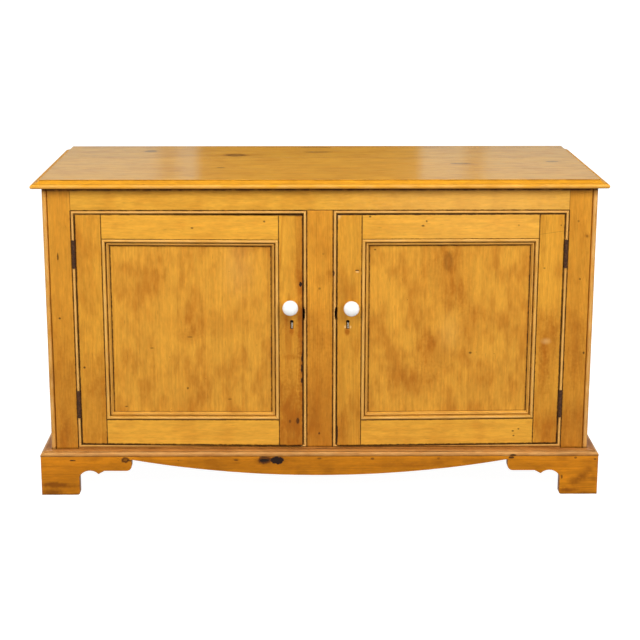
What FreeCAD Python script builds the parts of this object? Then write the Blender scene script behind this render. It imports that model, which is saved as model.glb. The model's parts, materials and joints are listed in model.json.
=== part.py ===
import FreeCAD, Part
import math
import os
import Sketcher

# A two-door pine sideboard on a plinth with bracket feet.
# X runs along the wall, Y back from the face of the front frame, Z up from the floor.
# Every piece is drawn on those lines and then moved so that the origin is under the middle.

# Driving sizes in millimetres
SIZES = {
    # The whole piece
    "top_length": 1524.0,
    "total_height": 870.0,
    "carcass_depth": 648.0,
    "knob_reach": 36.0,
    # Top boards and their moulded edge
    "top_thickness": 22.0,
    "top_overhang": 26.0,
    "edge_width": 22.5,
    "edge_fillet": 2.0,
    "nose_radius": 5.0,
    "cove_foot": 7.0,
    "cove_lift": 0.8,
    "cove_radius": 24.0,
    "back_strip_depth": 38.0,
    "back_strip_setback": 13.0,
    # Carcass boards
    "side_thickness": 20.0,
    "bottom_thickness": 20.0,
    "housing_depth": 6.0,
    "back_thickness": 10.0,
    "back_rebate": 10.0,
    "back_tongue": 6.0,
    "back_tongue_thickness": 4.0,
    "back_joint_gap": 0.5,
    "back_rail_height": 48.0,
    "back_rail_thickness": 22.0,
    "shelf_thickness": 20.0,
    "shelf_level": 470.0,
    "shelf_setback": 60.0,
    "bearer_height": 25.0,
    "bearer_thickness": 20.0,
    "block_length": 60.0,
    "block_width": 25.0,
    "foot_block_width": 60.0,
    "foot_block_depth": 45.0,
    # Front frame
    "frame_thickness": 22.0,
    "stile_width": 74.8,
    "stile_foot_width": 65.0,
    "centre_stile_width": 71.0,
    "top_rail_width": 60.2,
    "bottom_rail_width": 26.0,
    "opening_level": 129.0,
    "corner_bead_radius": 6.0,
    "quirk_width": 1.5,
    "frame_tenon_length": 30.0,
    "frame_tenon_thickness": 8.0,
    "frame_tenon_face": 7.0,
    "frame_tenon_shoulder": 4.0,
    "stub_tenon_length": 12.0,
    # Beads round the two openings
    "bead_width": 9.0,
    "bead_proud": 3.0,
    "door_gap": 1.2,
    "bottom_bead_at_hinge": 7.0,
    "bottom_bead_at_lock": 0.6,
    "worn_gap": 0.8,
    "worn_corner_radius": 8.0,
    "worn_bead_radius": 9.0,
    "bead_chip_depth": 4.0,
    "bead_chip_low": 488.0,
    "bead_chip_high": 521.0,
    # Plinth
    "plinth_thickness": 27.0,
    "ledge_drop": 7.5,
    "plinth_moulding_height": 13.0,
    "plinth_moulding_reach": 27.75,
    "ledge_depth": 18.2,
    "ledge_bead_radius": 2.6,
    "ovolo_radius": 9.0,
    "ovolo_drop": 1.6,
    "ovolo_inset": 6.2,
    "apron_level": 101.0,
    "apron_drop": 45.0,
    "side_apron_drop": 6.0,
    "bracket_level": 69.0,
    "bracket_nose_radius": 15.0,
    "bracket_reach": 248.5,
    "bracket_flat_end": 173.5,
    "cusp_reach": 156.5,
    "cusp_level": 60.0,
    "arch_radius": 32.0,
    "leg_width": 104.5,
    "leg_shoulder": 52.0,
    "foot_radius": 6.0,
    # Doors
    "door_thickness": 21.5,
    "hinge_stile_width": 67.5,
    "lock_stile_width": 63.8,
    "door_top_rail_width": 67.0,
    "door_bottom_rail_level": 206.5,
    "panel_recess": 10.0,
    "panel_thickness": 8.0,
    "groove_depth": 8.0,
    "panel_play": 1.0,
    "door_tenon_length": 45.0,
    "door_haunch": 14.0,
    # Planted moulding round each panel
    "moulding_width": 22.0,
    "moulding_bead_radius": 4.5,
    "moulding_proud": 1.5,
    "moulding_valley_depth": 6.2,
    "moulding_valley_slope": 0.8,
    "moulding_valley_width": 1.8,
    "moulding_ridge_radius": 2.7,
    "moulding_cove_radius": 9.0,
    "moulding_foot": 0.8,
    # Door stops
    "stop_length": 80.0,
    "stop_overlap": 12.0,
    "stop_thickness": 18.0,
    "stop_height": 34.0,
    # Cast butt hinges
    "hinge_length": 76.0,
    "lower_hinge_level": 214.0,
    "upper_hinge_drop": 146.6,
    "hinge_axis_forward": 1.0,
    "hinge_leaf_thickness": 2.5,
    "hinge_leaf_edge": 20.0,
    "hinge_running_gap": 0.3,
    "hinge_end_gap": 0.5,
    "pin_radius": 2.0,
    "pin_clearance": 0.05,
    "screw_head_radius": 3.6,
    "screw_head_depth": 1.9,
    "screw_radius": 1.6,
    "screw_length": 19.0,
    # Porcelain knobs
    "knob_radius": 20.5,
    "knob_seat_radius": 11.0,
    "knob_seat_height": 2.5,
    "knob_neck_radius": 8.5,
    "knob_neck_reach": 9.5,
    "knob_neck_curve": 12.0,
    "knob_belly_reach": 24.0,
    "knob_shoulder_reach": 32.0,
    "knob_shoulder_radius": 15.5,
    "knob_bolt_radius": 2.5,
    "knob_bolt_depth": 20.0,
    "knob_bolt_tail": 7.0,
    "knob_washer_radius": 6.0,
    "knob_washer_thickness": 1.0,
    "knob_nut_width": 9.0,
    "knob_nut_thickness": 3.5,
    "left_knob_inset": 33.6,
    "left_knob_level": 528.0,
    "right_knob_inset": 38.8,
    "right_knob_level": 526.0,
    # Locks, cut into the backs of the lock stiles
    "lock_width": 42.0,
    "lock_low": 452.0,
    "lock_high": 519.0,
    "lock_face": 10.0,
    "selvedge_thickness": 2.0,
    "selvedge_face": 8.0,
    "selvedge_margin": 4.0,
    "bolt_length": 24.0,
    "bolt_low": 494.0,
    "bolt_height": 22.0,
    "bolt_face": 13.0,
    "bolt_thickness": 6.0,
    "bolt_throw": 13.0,
    "bolt_clearance": 0.25,
    "mortise_clearance": 1.0,
    "keyhole_inset": 29.3,
    "keyhole_level": 482.5,
    "keyhole_radius": 4.3,
    "keyhole_slot_width": 4.6,
    "keyhole_foot": 461.5,
    "keyway_depth": 2.0,
    "key_pin_radius": 1.4,
    "key_pin_reach": 5.0,
    "lock_screw_radius": 1.3,
    "lock_screw_head_radius": 2.8,
    "lock_screw_head_depth": 1.5,
    "lock_screw_length": 14.0,
    "lock_screw_margin": 7.0,
}

TOP_BOARD_COUNT = 3
BACK_BOARD_COUNT = 7
KNUCKLE_COUNT = 5
TOP_BLOCK_SHARES = (-0.8, -0.3, 0.3, 0.8)
SIDE_BLOCK_SHARES = (0.3, 0.65)
HINGE_SCREW_SHARES = ((0.16, 0.55), (0.5, 0.8), (0.84, 0.55))
SIDES = {"left": -1, "right": 1}


class Size:
    """A length with its value and the formula on the sheet that gives it."""

    def __init__(self, value, formula):
        self.value = float(value)
        self.formula = formula

    def __add__(self, other):
        other = as_size(other)
        return Size(self.value + other.value, f"({self.formula} + {other.formula})")

    def __sub__(self, other):
        other = as_size(other)
        return Size(self.value - other.value, f"({self.formula} - {other.formula})")

    def __mul__(self, other):
        other = as_size(other)
        return Size(self.value * other.value, f"({self.formula} * {other.formula})")

    def __truediv__(self, other):
        other = as_size(other)
        return Size(self.value / other.value, f"({self.formula} / {other.formula})")

    def __neg__(self):
        return Size(-self.value, f"(-1.0 * {self.formula})")

    __rmul__ = __mul__


def as_size(thing):
    """The thing itself if it is a Size, or a plain share or zero as one."""
    if isinstance(thing, Size):
        return thing
    return Size(thing, repr(float(thing)))


class Sheet:
    """The driving sizes as a spreadsheet, each read by its name."""

    def __init__(self, document):
        sheet = document.addObject("Spreadsheet::Sheet", "sizes")
        for row, (name, value) in enumerate(SIZES.items(), start=1):
            sheet.set(f"A{row}", name)
            sheet.set(f"B{row}", str(value))
            sheet.setAlias(f"B{row}", name)
        document.recompute()

    def __getattr__(self, name):
        return Size(SIZES[name], f"sizes.{name}")


doc = FreeCAD.newDocument("sideboard")
s = Sheet(doc)
pieces = []

# Sizes worked out from the driving ones
NIL = as_size(0)
frame_face_place = (s.knob_reach - s.carcass_depth) / 2
half_carcass = s.top_length / 2 - s.top_overhang
top_underside = s.total_height - s.top_thickness
side_inner = half_carcass - s.side_thickness
stile_line = half_carcass - s.stile_width
centre_line = s.centre_stile_width / 2
rail_line = top_underside - s.top_rail_width
frame_foot = s.opening_level - s.bottom_rail_width
bottom_underside = s.opening_level - s.bottom_thickness
back_face = s.carcass_depth - s.back_thickness
door_margin = s.bead_width + s.door_gap
door_hinge_edge = stile_line - door_margin
door_lock_edge = centre_line + door_margin
door_width = door_hinge_edge - door_lock_edge
door_top = rail_line - door_margin
door_low_at_hinge = s.opening_level + s.bottom_bead_at_hinge + s.door_gap
door_low_at_lock = s.opening_level + s.bottom_bead_at_lock + s.worn_gap
panel_hinge_line = door_hinge_edge - s.hinge_stile_width
panel_lock_line = door_lock_edge + s.lock_stile_width
panel_top_line = door_top - s.door_top_rail_width
panel_low_line = s.door_bottom_rail_level
ledge_level = s.opening_level - s.ledge_drop
plinth_top = ledge_level - s.plinth_moulding_height
hinge_axis_x = stile_line - door_margin / 2
hinge_axis_y = -s.hinge_axis_forward
knuckle_radius = door_margin / 2 - s.hinge_running_gap
HINGE_LEVELS = {"lower": s.lower_hinge_level, "upper": door_top - s.upper_hinge_drop}


def bind(thing, place, size):
    """Tie one property of an object to the sheet."""
    thing.setExpression(place, as_size(size).formula)


def ordered(first, second):
    """Two sizes with the smaller value first, as a low and high end."""
    first, second = as_size(first), as_size(second)
    return (first, second) if first.value <= second.value else (second, first)


def block(name, across, back, up):
    """A plain squared block between three pairs of planes."""
    box = doc.addObject("Part::Box", name)
    for side, axis, (low, high) in (
        ("Length", "x", ordered(*across)),
        ("Width", "y", ordered(*back)),
        ("Height", "z", ordered(*up)),
    ):
        bind(box, side, high - low)
        bind(box, f"Placement.Base.{axis}", low)
    return box


def rod(name, radius, length, centre, axis, angle):
    """A round rod that starts at a centre point, turned by an angle about an axis."""
    cylinder = doc.addObject("Part::Cylinder", name)
    bind(cylinder, "Radius", radius)
    bind(cylinder, "Height", length)
    turn_and_place(cylinder, centre, axis, angle)
    return cylinder


def turn_and_place(thing, centre, axis, angle):
    """Set an object's turn and tie its place to the sheet."""
    thing.Placement = FreeCAD.Placement(FreeCAD.Vector(), FreeCAD.Rotation(axis, angle))
    for letter, size in zip("xyz", centre):
        bind(thing, f"Placement.Base.{letter}", size)


def join(name, things):
    """Several objects made into one solid."""
    fusion = doc.addObject("Part::MultiFuse", name)
    fusion.Shapes = things
    return fusion


def cut(name, base, tools):
    """A base with every tool taken out of it."""
    result = doc.addObject("Part::Cut", name)
    result.Base = base
    result.Tool = tools[0] if len(tools) == 1 else join(f"{name}_tools", tools)
    return result


def common(name, first, second):
    """What two crossing prisms share, such as a section and its mitred face."""
    result = doc.addObject("Part::MultiCommon", name)
    result.Shapes = [first, second]
    return result


def gather(name, things):
    """Separate solids kept side by side in one object."""
    group = doc.addObject("Part::Compound", name)
    group.Links = things
    return group


def finish(node, thing):
    """Name a finished piece and move it from where it was drawn to its place."""
    thing.Label = node
    ties = {path.lstrip("."): formula for path, formula in thing.ExpressionEngine}
    drawn = ties.get("Placement.Base.y", "0.0")
    thing.setExpression("Placement.Base.y", f"({drawn}) + {frame_face_place.formula}")
    pieces.append(thing)
    return thing


def flip(run):
    """The mirror image of a run of corners, left for right."""
    flipped = []
    for corner in run:
        turned = (-corner[0], corner[1])
        if len(corner) > 2:
            turned += (corner[2], -as_size(corner[3]), corner[4])
        flipped.append(turned)
    return flipped


def swap(run):
    """A run of corners with its two directions exchanged."""
    return [
        (corner[1], corner[0]) + ((corner[2], corner[4], corner[3]) if len(corner) > 2 else ())
        for corner in run
    ]


def backwards(run):
    """A run of corners walked from its other end, each arc kept."""
    turned = []
    for place in range(len(run) - 1, -1, -1):
        bend = tuple(run[place + 1][2:]) if place + 1 < len(run) else ()
        turned.append(tuple(run[place][:2]) + bend)
    return turned


def point(pair):
    """A flat point at the values of two sizes."""
    return FreeCAD.Vector(as_size(pair[0]).value, as_size(pair[1]).value, 0)


def arc_between(start, finish_point, radius, hint):
    """The short arc of a radius between two points, its centre on the hint's side."""
    chord = finish_point - start
    middle = (start + finish_point) / 2
    across = FreeCAD.Vector(-chord.y, chord.x, 0).normalize()
    if (hint - middle).dot(across) < 0:
        across = -across
    reach = math.sqrt(max(radius**2 - (chord.Length / 2) ** 2, 0))
    centre = middle + across * reach
    circle = Part.Circle(centre, FreeCAD.Vector(0, 0, 1), radius)
    first = math.atan2(start.y - centre.y, start.x - centre.x)
    last = math.atan2(finish_point.y - centre.y, finish_point.x - centre.x)
    if (last - first) % (2 * math.pi) <= math.pi:
        return Part.ArcOfCircle(circle, first, last), 1, 2
    return Part.ArcOfCircle(circle, last, first), 2, 1


def draw(sketch, corners):
    """Draw a closed outline of straight runs and arcs, every corner tied to the sheet.

    A corner is two sizes. One reached by an arc also has the arc's radius and a hint
    of two sizes on the side where the arc's centre lies.
    """
    ends = []
    for place, corner in enumerate(corners):
        start = point(corners[place - 1])
        if len(corner) == 2:
            geometry, begin, end = Part.LineSegment(start, point(corner)), 1, 2
        else:
            geometry, begin, end = arc_between(
                start, point(corner), as_size(corner[2]).value, point(corner[3:])
            )
        ends.append((sketch.addGeometry(geometry, False), begin, end))
    constraints = []
    ties = []
    for place, (index, _, end) in enumerate(ends):
        following = ends[(place + 1) % len(ends)]
        constraints.append(
            Sketcher.Constraint("Coincident", index, end, following[0], following[1])
        )
        measures = [("DistanceX", corners[place][0]), ("DistanceY", corners[place][1])]
        for kind, size in measures:
            size = as_size(size)
            ties.append((len(constraints), size))
            constraints.append(Sketcher.Constraint(kind, index, end, size.value))
        if len(corners[place]) > 2:
            radius = as_size(corners[place][2])
            ties.append((len(constraints), radius))
            constraints.append(Sketcher.Constraint("Radius", index, radius.value))
    offset = sketch.ConstraintCount
    sketch.addConstraint(constraints)
    for number, size in ties:
        bind(sketch, f"Constraints[{offset + number}]", size)


def new_sketch(body, plane, offset):
    """A sketch on one of its body's own planes, moved off it by a size."""
    sketch = body.newObject("Sketcher::SketchObject", f"{body.Name}_outline")
    role = f"{plane}_Plane"
    support = next(item for item in body.Origin.OriginFeatures if item.Role == role)
    sketch.AttachmentSupport = [(support, "")]
    sketch.MapMode = "FlatFace"
    bind(sketch, "AttachmentOffset.Base.z", offset)
    return sketch


def prism(name, plane, corners, span):
    """An outline on a plane, padded between two planes beside it."""
    low, high = ordered(*span)
    body = doc.addObject("PartDesign::Body", name)
    # The XZ plane faces forward, so its padding starts at the far plane.
    sketch = new_sketch(body, plane, -high if plane == "XZ" else low)
    draw(sketch, corners)
    pad = body.newObject("PartDesign::Pad", f"{name}_pad")
    pad.Profile = sketch
    bind(pad, "Length", high - low)
    sketch.Visibility = False
    return body


def spun(name, corners):
    """An outline on the YZ plane, spun round the Y line."""
    body = doc.addObject("PartDesign::Body", name)
    sketch = new_sketch(body, "YZ", NIL)
    draw(sketch, corners)
    turning = body.newObject("PartDesign::Revolution", f"{name}_turning")
    turning.Profile = sketch
    turning.ReferenceAxis = (sketch, ["H_Axis"])
    turning.Angle = 360
    sketch.Visibility = False
    return body


def top_edge(tip, inward):
    """The top's moulded edge from its underside up: nose, cove and fillet."""
    low = top_underside
    nose_top = low + s.nose_radius * 2
    nose_middle = low + s.nose_radius
    nose_back = tip + inward * s.nose_radius
    cove_start = tip + inward * s.cove_foot
    arris = tip + inward * s.edge_width
    return [
        (nose_back, low),
        (tip, nose_middle, s.nose_radius, nose_back, nose_middle),
        (nose_back, nose_top, s.nose_radius, nose_back, nose_middle),
        (cove_start, nose_top + s.cove_lift),
        (arris, s.total_height - s.edge_fillet, s.cove_radius, tip, s.total_height + s.cove_foot),
        (arris, s.total_height),
    ]


def make_top():
    """Three long boards edge to edge with a moulded edge, and a plain strip at the back."""
    half = s.top_length / 2
    front = -s.top_overhang
    strip_front = s.carcass_depth - s.back_strip_depth
    board_depth = (strip_front - front) / TOP_BOARD_COUNT
    ends = top_edge(half, -1)
    outline = ends + backwards(flip(ends))
    for place, name in enumerate(("front", "middle", "rear")):
        span = (front + board_depth * place, front + board_depth * (place + 1))
        board = prism(f"top_{name}_ends", "XZ", outline, span)
        if name == "front":
            edge = top_edge(front, 1) + [(span[1], s.total_height), (span[1], top_underside)]
            run = prism("top_front_edge", "YZ", edge, (-half, half))
            board = common("top_front", board, run)
        finish(f"top_{name}_board", board)
    strip_end = half - s.back_strip_setback
    strip = block(
        "top_strip",
        (-strip_end, strip_end),
        (strip_front, s.carcass_depth),
        (top_underside, s.total_height),
    )
    finish("top_back_strip", strip)


def make_sides():
    """Side boards, housed for the bottom board and rebated for the back boards."""
    for name, side in SIDES.items():
        board = block(
            f"{name}_side_board",
            (side * side_inner, side * half_carcass),
            (s.frame_thickness, s.carcass_depth),
            (bottom_underside, top_underside),
        )
        rebate = block(
            f"{name}_side_rebate",
            (side * side_inner, side * (side_inner + s.back_rebate)),
            (back_face, s.carcass_depth),
            (bottom_underside, top_underside),
        )
        housing = block(
            f"{name}_side_housing",
            (side * side_inner, side * (side_inner + s.housing_depth)),
            (s.frame_thickness, back_face),
            (bottom_underside, s.opening_level),
        )
        finish(f"{name}_side", cut(f"{name}_side_cut", board, [rebate, housing]))


def make_inside():
    """Bottom, shelf on its bearers, back boards, back rail and the glue blocks."""
    reach = side_inner + s.housing_depth
    bottom = block(
        "bottom", (-reach, reach), (s.frame_thickness, back_face), (bottom_underside, s.opening_level)
    )
    finish("bottom_board", bottom)
    shelf_front = s.frame_thickness + s.shelf_setback
    shelf_low = s.shelf_level - s.shelf_thickness
    shelf = block(
        "shelf_plank", (-side_inner, side_inner), (shelf_front, back_face), (shelf_low, s.shelf_level)
    )
    finish("shelf", shelf)
    bearer_up = (shelf_low - s.bearer_height, shelf_low)
    bearer_inner = side_inner - s.bearer_thickness
    bearers = [
        block(
            f"{name}_bearer",
            (side * bearer_inner, side * side_inner),
            (shelf_front, back_face),
            bearer_up,
        )
        for name, side in SIDES.items()
    ]
    bearers.append(
        block(
            "back_bearer",
            (-bearer_inner, bearer_inner),
            (back_face - s.bearer_thickness, back_face),
            bearer_up,
        )
    )
    finish("shelf_bearers", gather("bearers", bearers))
    back_rail = block(
        "rear_rail",
        (-side_inner, side_inner),
        (back_face - s.back_rail_thickness, back_face),
        (top_underside - s.back_rail_height, top_underside),
    )
    finish("back_rail", back_rail)
    make_back_boards()
    make_blocks()


def make_back_boards():
    """Upright tongued and grooved boards that fill the rebate at the back."""
    half = side_inner + s.back_rebate
    pitch = half * 2 / BACK_BOARD_COUNT
    up = (bottom_underside, top_underside)
    tongue_face = back_face + (s.back_thickness - s.back_tongue_thickness) / 2
    tongue_back = tongue_face + s.back_tongue_thickness
    boards = []
    for place in range(BACK_BOARD_COUNT):
        low = pitch * place - half
        high = low + pitch
        board_high = high
        board = None
        if place < BACK_BOARD_COUNT - 1:
            board_high = high - s.back_joint_gap
            plank = block(f"back_plank_{place}", (low, board_high), (back_face, s.carcass_depth), up)
            tongue = block(
                f"back_tongue_{place}",
                (board_high, high + s.back_tongue),
                (tongue_face, tongue_back),
                up,
            )
            board = join(f"back_tongued_{place}", [plank, tongue])
        else:
            board = block(f"back_plank_{place}", (low, high), (back_face, s.carcass_depth), up)
        if place > 0:
            groove = block(
                f"back_groove_{place}",
                (low, low + s.back_tongue),
                (tongue_face, tongue_back),
                up,
            )
            board = cut(f"back_grooved_{place}", board, [groove])
        boards.append(board)
    finish("back_boards", gather("back_set", boards))


def make_blocks():
    """Glue blocks under the top, and the blocks in the four feet that carry the carcass."""
    low = top_underside - s.block_width
    half_block = s.block_length / 2
    blocks = []
    for place, share in enumerate(TOP_BLOCK_SHARES):
        middle = side_inner * share
        blocks.append(
            block(
                f"front_block_{place}",
                (middle - half_block, middle + half_block),
                (s.frame_thickness, s.frame_thickness + s.block_width),
                (low, top_underside),
            )
        )
    for name, side in SIDES.items():
        for place, share in enumerate(SIDE_BLOCK_SHARES):
            middle = back_face * share
            blocks.append(
                block(
                    f"{name}_block_{place}",
                    (side * (side_inner - s.block_width), side * side_inner),
                    (middle - half_block, middle + half_block),
                    (low, top_underside),
                )
            )
    finish("top_glue_blocks", gather("top_block_set", blocks))
    feet = []
    for name, side in SIDES.items():
        for end, front in (
            ("front", s.frame_thickness),
            ("rear", s.carcass_depth - s.foot_block_depth),
        ):
            feet.append(
                block(
                    f"{name}_{end}_foot_block",
                    (side * (half_carcass - s.foot_block_width), side * half_carcass),
                    (front, front + s.foot_block_depth),
                    (NIL, bottom_underside),
                )
            )
    finish("foot_blocks", gather("foot_block_set", feet))


def frame_tenon(name, across, up):
    """A frame tenon, or the same block as the tool that cuts its mortise."""
    back = (s.frame_tenon_face, s.frame_tenon_face + s.frame_tenon_thickness)
    return block(name, across, back, up)


def make_frame():
    """The front frame: beaded outer stiles, two tenoned rails and the centre stile."""
    rails = {
        "top": (rail_line, top_underside),
        "bottom": (frame_foot, s.opening_level),
    }
    tenon_up = {
        name: (low + s.frame_tenon_shoulder, high - s.frame_tenon_shoulder)
        for name, (low, high) in rails.items()
    }
    for name, side in SIDES.items():
        bead = s.corner_bead_radius
        bead_line = half_carcass - bead * 2
        section = [
            (side * stile_line, NIL),
            (side * (bead_line - s.quirk_width), NIL),
            (side * (bead_line - s.quirk_width), bead),
            (side * bead_line, bead),
            (side * (bead_line + bead), NIL, bead, side * (bead_line + bead), bead),
            (side * half_carcass, bead, bead, side * (bead_line + bead), bead),
            (side * half_carcass, s.frame_thickness),
            (side * stile_line, s.frame_thickness),
        ]
        blank = prism(f"{name}_stile_section", "XY", section, (NIL, top_underside))
        tools = [
            block(
                f"{name}_stile_notch",
                (side * stile_line, side * (half_carcass - s.stile_foot_width)),
                (NIL, s.frame_thickness),
                (NIL, frame_foot),
            )
        ]
        for rail, up in tenon_up.items():
            reach = stile_line + s.frame_tenon_length
            tools.append(frame_tenon(f"{name}_{rail}_mortise", (side * stile_line, side * reach), up))
        tools.append(frame_screw_tools(name, side))
        finish(f"{name}_stile", cut(f"{name}_stile_cut", blank, tools))
    stub_half = centre_line - s.frame_tenon_shoulder
    stubs = {
        "top": (rail_line, rail_line + s.stub_tenon_length),
        "bottom": (s.opening_level - s.stub_tenon_length, s.opening_level),
    }
    for rail, up in rails.items():
        bar = block(f"{rail}_rail_bar", (-stile_line, stile_line), (NIL, s.frame_thickness), up)
        reach = stile_line + s.frame_tenon_length
        tenon = frame_tenon(f"{rail}_rail_tenon", (-reach, reach), tenon_up[rail])
        mortise = frame_tenon(f"{rail}_rail_mortise", (-stub_half, stub_half), stubs[rail])
        whole = join(f"{rail}_rail_whole", [bar, tenon])
        finish(f"frame_{rail}_rail", cut(f"{rail}_rail_cut", whole, [mortise]))
    post = block(
        "centre_post",
        (-centre_line, centre_line),
        (NIL, s.frame_thickness),
        (s.opening_level, rail_line),
    )
    stub = frame_tenon(
        "centre_post_stub", (-stub_half, stub_half), (stubs["bottom"][0], stubs["top"][1])
    )
    mortises = [bolt_mortise(name, side) for name, side in SIDES.items()]
    finish("centre_stile", cut("centre_cut", join("centre_whole", [post, stub]), mortises))
    make_door_stops()


def bolt_mortise(name, side):
    """The slot in bead and centre stile that a thrown lock bolt enters."""
    deepest = door_lock_edge - s.bolt_throw - s.mortise_clearance
    return block(
        f"{name}_bolt_mortise",
        (side * deepest, side * door_lock_edge),
        (s.bolt_face - s.mortise_clearance, s.bolt_face + s.bolt_thickness + s.mortise_clearance),
        (s.bolt_low - s.mortise_clearance, s.bolt_low + s.bolt_height + s.mortise_clearance),
    )


def make_door_stops():
    """Blocks glued behind the top rail that the doors close against."""
    low = door_top - s.stop_overlap
    stops = [
        block(
            f"{name}_stop",
            (side * door_lock_edge, side * (door_lock_edge + s.stop_length)),
            (s.frame_thickness, s.frame_thickness + s.stop_thickness),
            (low, low + s.stop_height),
        )
        for name, side in SIDES.items()
    ]
    finish("door_stops", gather("stop_set", stops))


def bead_section(low, high):
    """A bead's section as distance back and distance across: square behind, round in front."""
    radius = s.bead_width / 2
    round_start = radius - s.bead_proud
    low, high = ordered(low, high)
    middle = low + radius
    return [
        (s.frame_thickness, low),
        (s.frame_thickness, high),
        (round_start, high),
        (-s.bead_proud, middle, radius, round_start, middle),
        (round_start, low, radius, round_start, middle),
    ]


def bead(name, upright, line, inward, face):
    """One bead: its section run along its length, and its face outline with the mitres."""
    depth = (-s.bead_proud, s.frame_thickness)
    section = bead_section(line, line + inward * s.bead_width)
    if upright:
        run = prism(f"{name}_run", "XY", swap(section), (s.opening_level, rail_line))
    else:
        run = prism(f"{name}_run", "YZ", section, (min_of(face, 0), max_of(face, 0)))
    return common(name, run, prism(f"{name}_face", "XZ", face, depth))


def min_of(corners, place):
    """The smallest size at one place of the corners."""
    return min((as_size(corner[place]) for corner in corners), key=lambda size: size.value)


def max_of(corners, place):
    """The largest size at one place of the corners."""
    return max((as_size(corner[place]) for corner in corners), key=lambda size: size.value)


def make_beads():
    """Mitred beads round both openings, cut away for the hinges and worn by the doors."""
    width = s.bead_width
    base = s.opening_level
    inner_hinge = stile_line - width
    inner_lock = centre_line + width
    sets = {"top": [], "bottom": [], "hinge_side": [], "lock_side": []}
    for name, side in SIDES.items():
        face = [
            (side * stile_line, rail_line),
            (side * centre_line, rail_line),
            (side * inner_lock, rail_line - width),
            (side * inner_hinge, rail_line - width),
        ]
        sets["top"].append(bead(f"{name}_top_bead", False, rail_line, -1, face))
        worn_end = door_lock_edge + s.worn_corner_radius
        face = [
            (side * centre_line, base),
            (side * stile_line, base),
            (side * (stile_line - s.bottom_bead_at_hinge), base + s.bottom_bead_at_hinge),
            (side * worn_end, base + s.bottom_bead_at_lock),
            (side * inner_lock, base + width, s.worn_bead_radius, side * worn_end, base + width),
        ]
        sets["bottom"].append(bead(f"{name}_bottom_bead", False, base, 1, face))
        sets["hinge_side"] += hinge_side_beads(name, side, inner_hinge)
        chip = inner_lock - s.bead_chip_depth
        face = [
            (side * centre_line, base),
            (side * inner_lock, base + width),
            (side * inner_lock, s.bead_chip_low),
            (side * chip, s.bead_chip_low),
            (side * chip, s.bead_chip_high),
            (side * inner_lock, s.bead_chip_high),
            (side * inner_lock, rail_line - width),
            (side * centre_line, rail_line),
        ]
        upright = bead(f"{name}_lock_bead", True, side * centre_line, side, face)
        notched = cut(f"{name}_lock_bead_cut", upright, [bolt_mortise(f"{name}_bead", side)])
        sets["lock_side"].append(notched)
    for place, beads in sets.items():
        finish(f"{place}_beads", gather(f"{place}_bead_set", beads))


def hinge_side_beads(name, side, inner):
    """The upright bead beside the hinges, in the three lengths that the hinges leave."""
    gap = s.hinge_running_gap
    starts = [s.opening_level]
    stops = []
    for level in HINGE_LEVELS.values():
        stops.append(level - gap)
        starts.append(level + s.hinge_length + gap)
    stops.append(rail_line)
    beads = []
    for place, (low, high) in enumerate(zip(starts, stops)):
        low_inner = low + s.bead_width if place == 0 else low
        high_inner = high - s.bead_width if place == len(starts) - 1 else high
        face = [
            (side * stile_line, low),
            (side * inner, low_inner),
            (side * inner, high_inner),
            (side * stile_line, high),
        ]
        beads.append(bead(f"{name}_hinge_bead_{place}", True, side * stile_line, -side, face))
    return beads


def foot_run(half):
    """A bracket foot's outline from the apron to the plinth's top corner."""
    nose = half - s.bracket_reach
    nose_radius = s.bracket_nose_radius
    cusp = half - s.cusp_reach
    leg = half - s.leg_width
    foot = s.foot_radius
    return [
        (nose, s.apron_level),
        (nose, s.bracket_level + nose_radius),
        (
            nose + nose_radius,
            s.bracket_level,
            nose_radius,
            nose + nose_radius,
            s.bracket_level + nose_radius,
        ),
        (half - s.bracket_flat_end, s.bracket_level),
        (cusp, s.cusp_level),
        (leg, s.leg_shoulder, s.arch_radius, (cusp + leg) / 2, NIL),
        (leg, foot),
        (leg + foot, NIL, foot, leg + foot, foot),
        (half, NIL),
        (half, plinth_top),
    ]


def apron_outline(half, drop):
    """A plinth board's face: two bracket feet and the bowed apron between them."""
    right = foot_run(half)
    nose = right[0][0]
    bow = (nose * nose + drop * drop) / (drop * 2)
    right[0] = (nose, s.apron_level, bow, NIL, s.apron_level + bow)
    return right + backwards(flip(right))


def moved(run, shift):
    """A run of corners moved along its first direction."""
    result = []
    for corner in run:
        place = (corner[0] + shift, corner[1])
        if len(corner) > 2:
            place += (corner[2], corner[3] + shift, corner[4])
        result.append(place)
    return result


def front_plan(reach):
    """The plan of a front plinth piece, mitred at both ends."""
    tip = half_carcass + reach
    return [(-half_carcass, NIL), (-tip, -reach), (tip, -reach), (half_carcass, NIL)]


def side_plan(side, reach):
    """The plan of a side plinth piece, mitred at the front."""
    return [
        (side * half_carcass, NIL),
        (side * (half_carcass + reach), -reach),
        (side * (half_carcass + reach), s.carcass_depth),
        (side * half_carcass, s.carcass_depth),
    ]


def ledge_section(root, outward):
    """The plinth moulding's section from the carcass out: ledge, small bead and ovolo."""
    reach = root + outward * s.plinth_moulding_reach
    ovolo_top = root + outward * (s.plinth_moulding_reach - s.ovolo_inset)
    bead_back = root + outward * s.ledge_depth
    bead_radius = s.ledge_bead_radius
    bead_low = ledge_level - bead_radius * 2
    bead_tip = bead_back + outward * bead_radius
    bead_middle = ledge_level - bead_radius
    return [
        (root, plinth_top),
        (reach, plinth_top),
        (reach, plinth_top + s.ovolo_drop),
        (ovolo_top, bead_low, s.ovolo_radius, root, plinth_top),
        (bead_back, bead_low),
        (bead_tip, bead_middle, bead_radius, bead_back, bead_middle),
        (bead_back, ledge_level, bead_radius, bead_back, bead_middle),
        (root, ledge_level),
    ]


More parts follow.
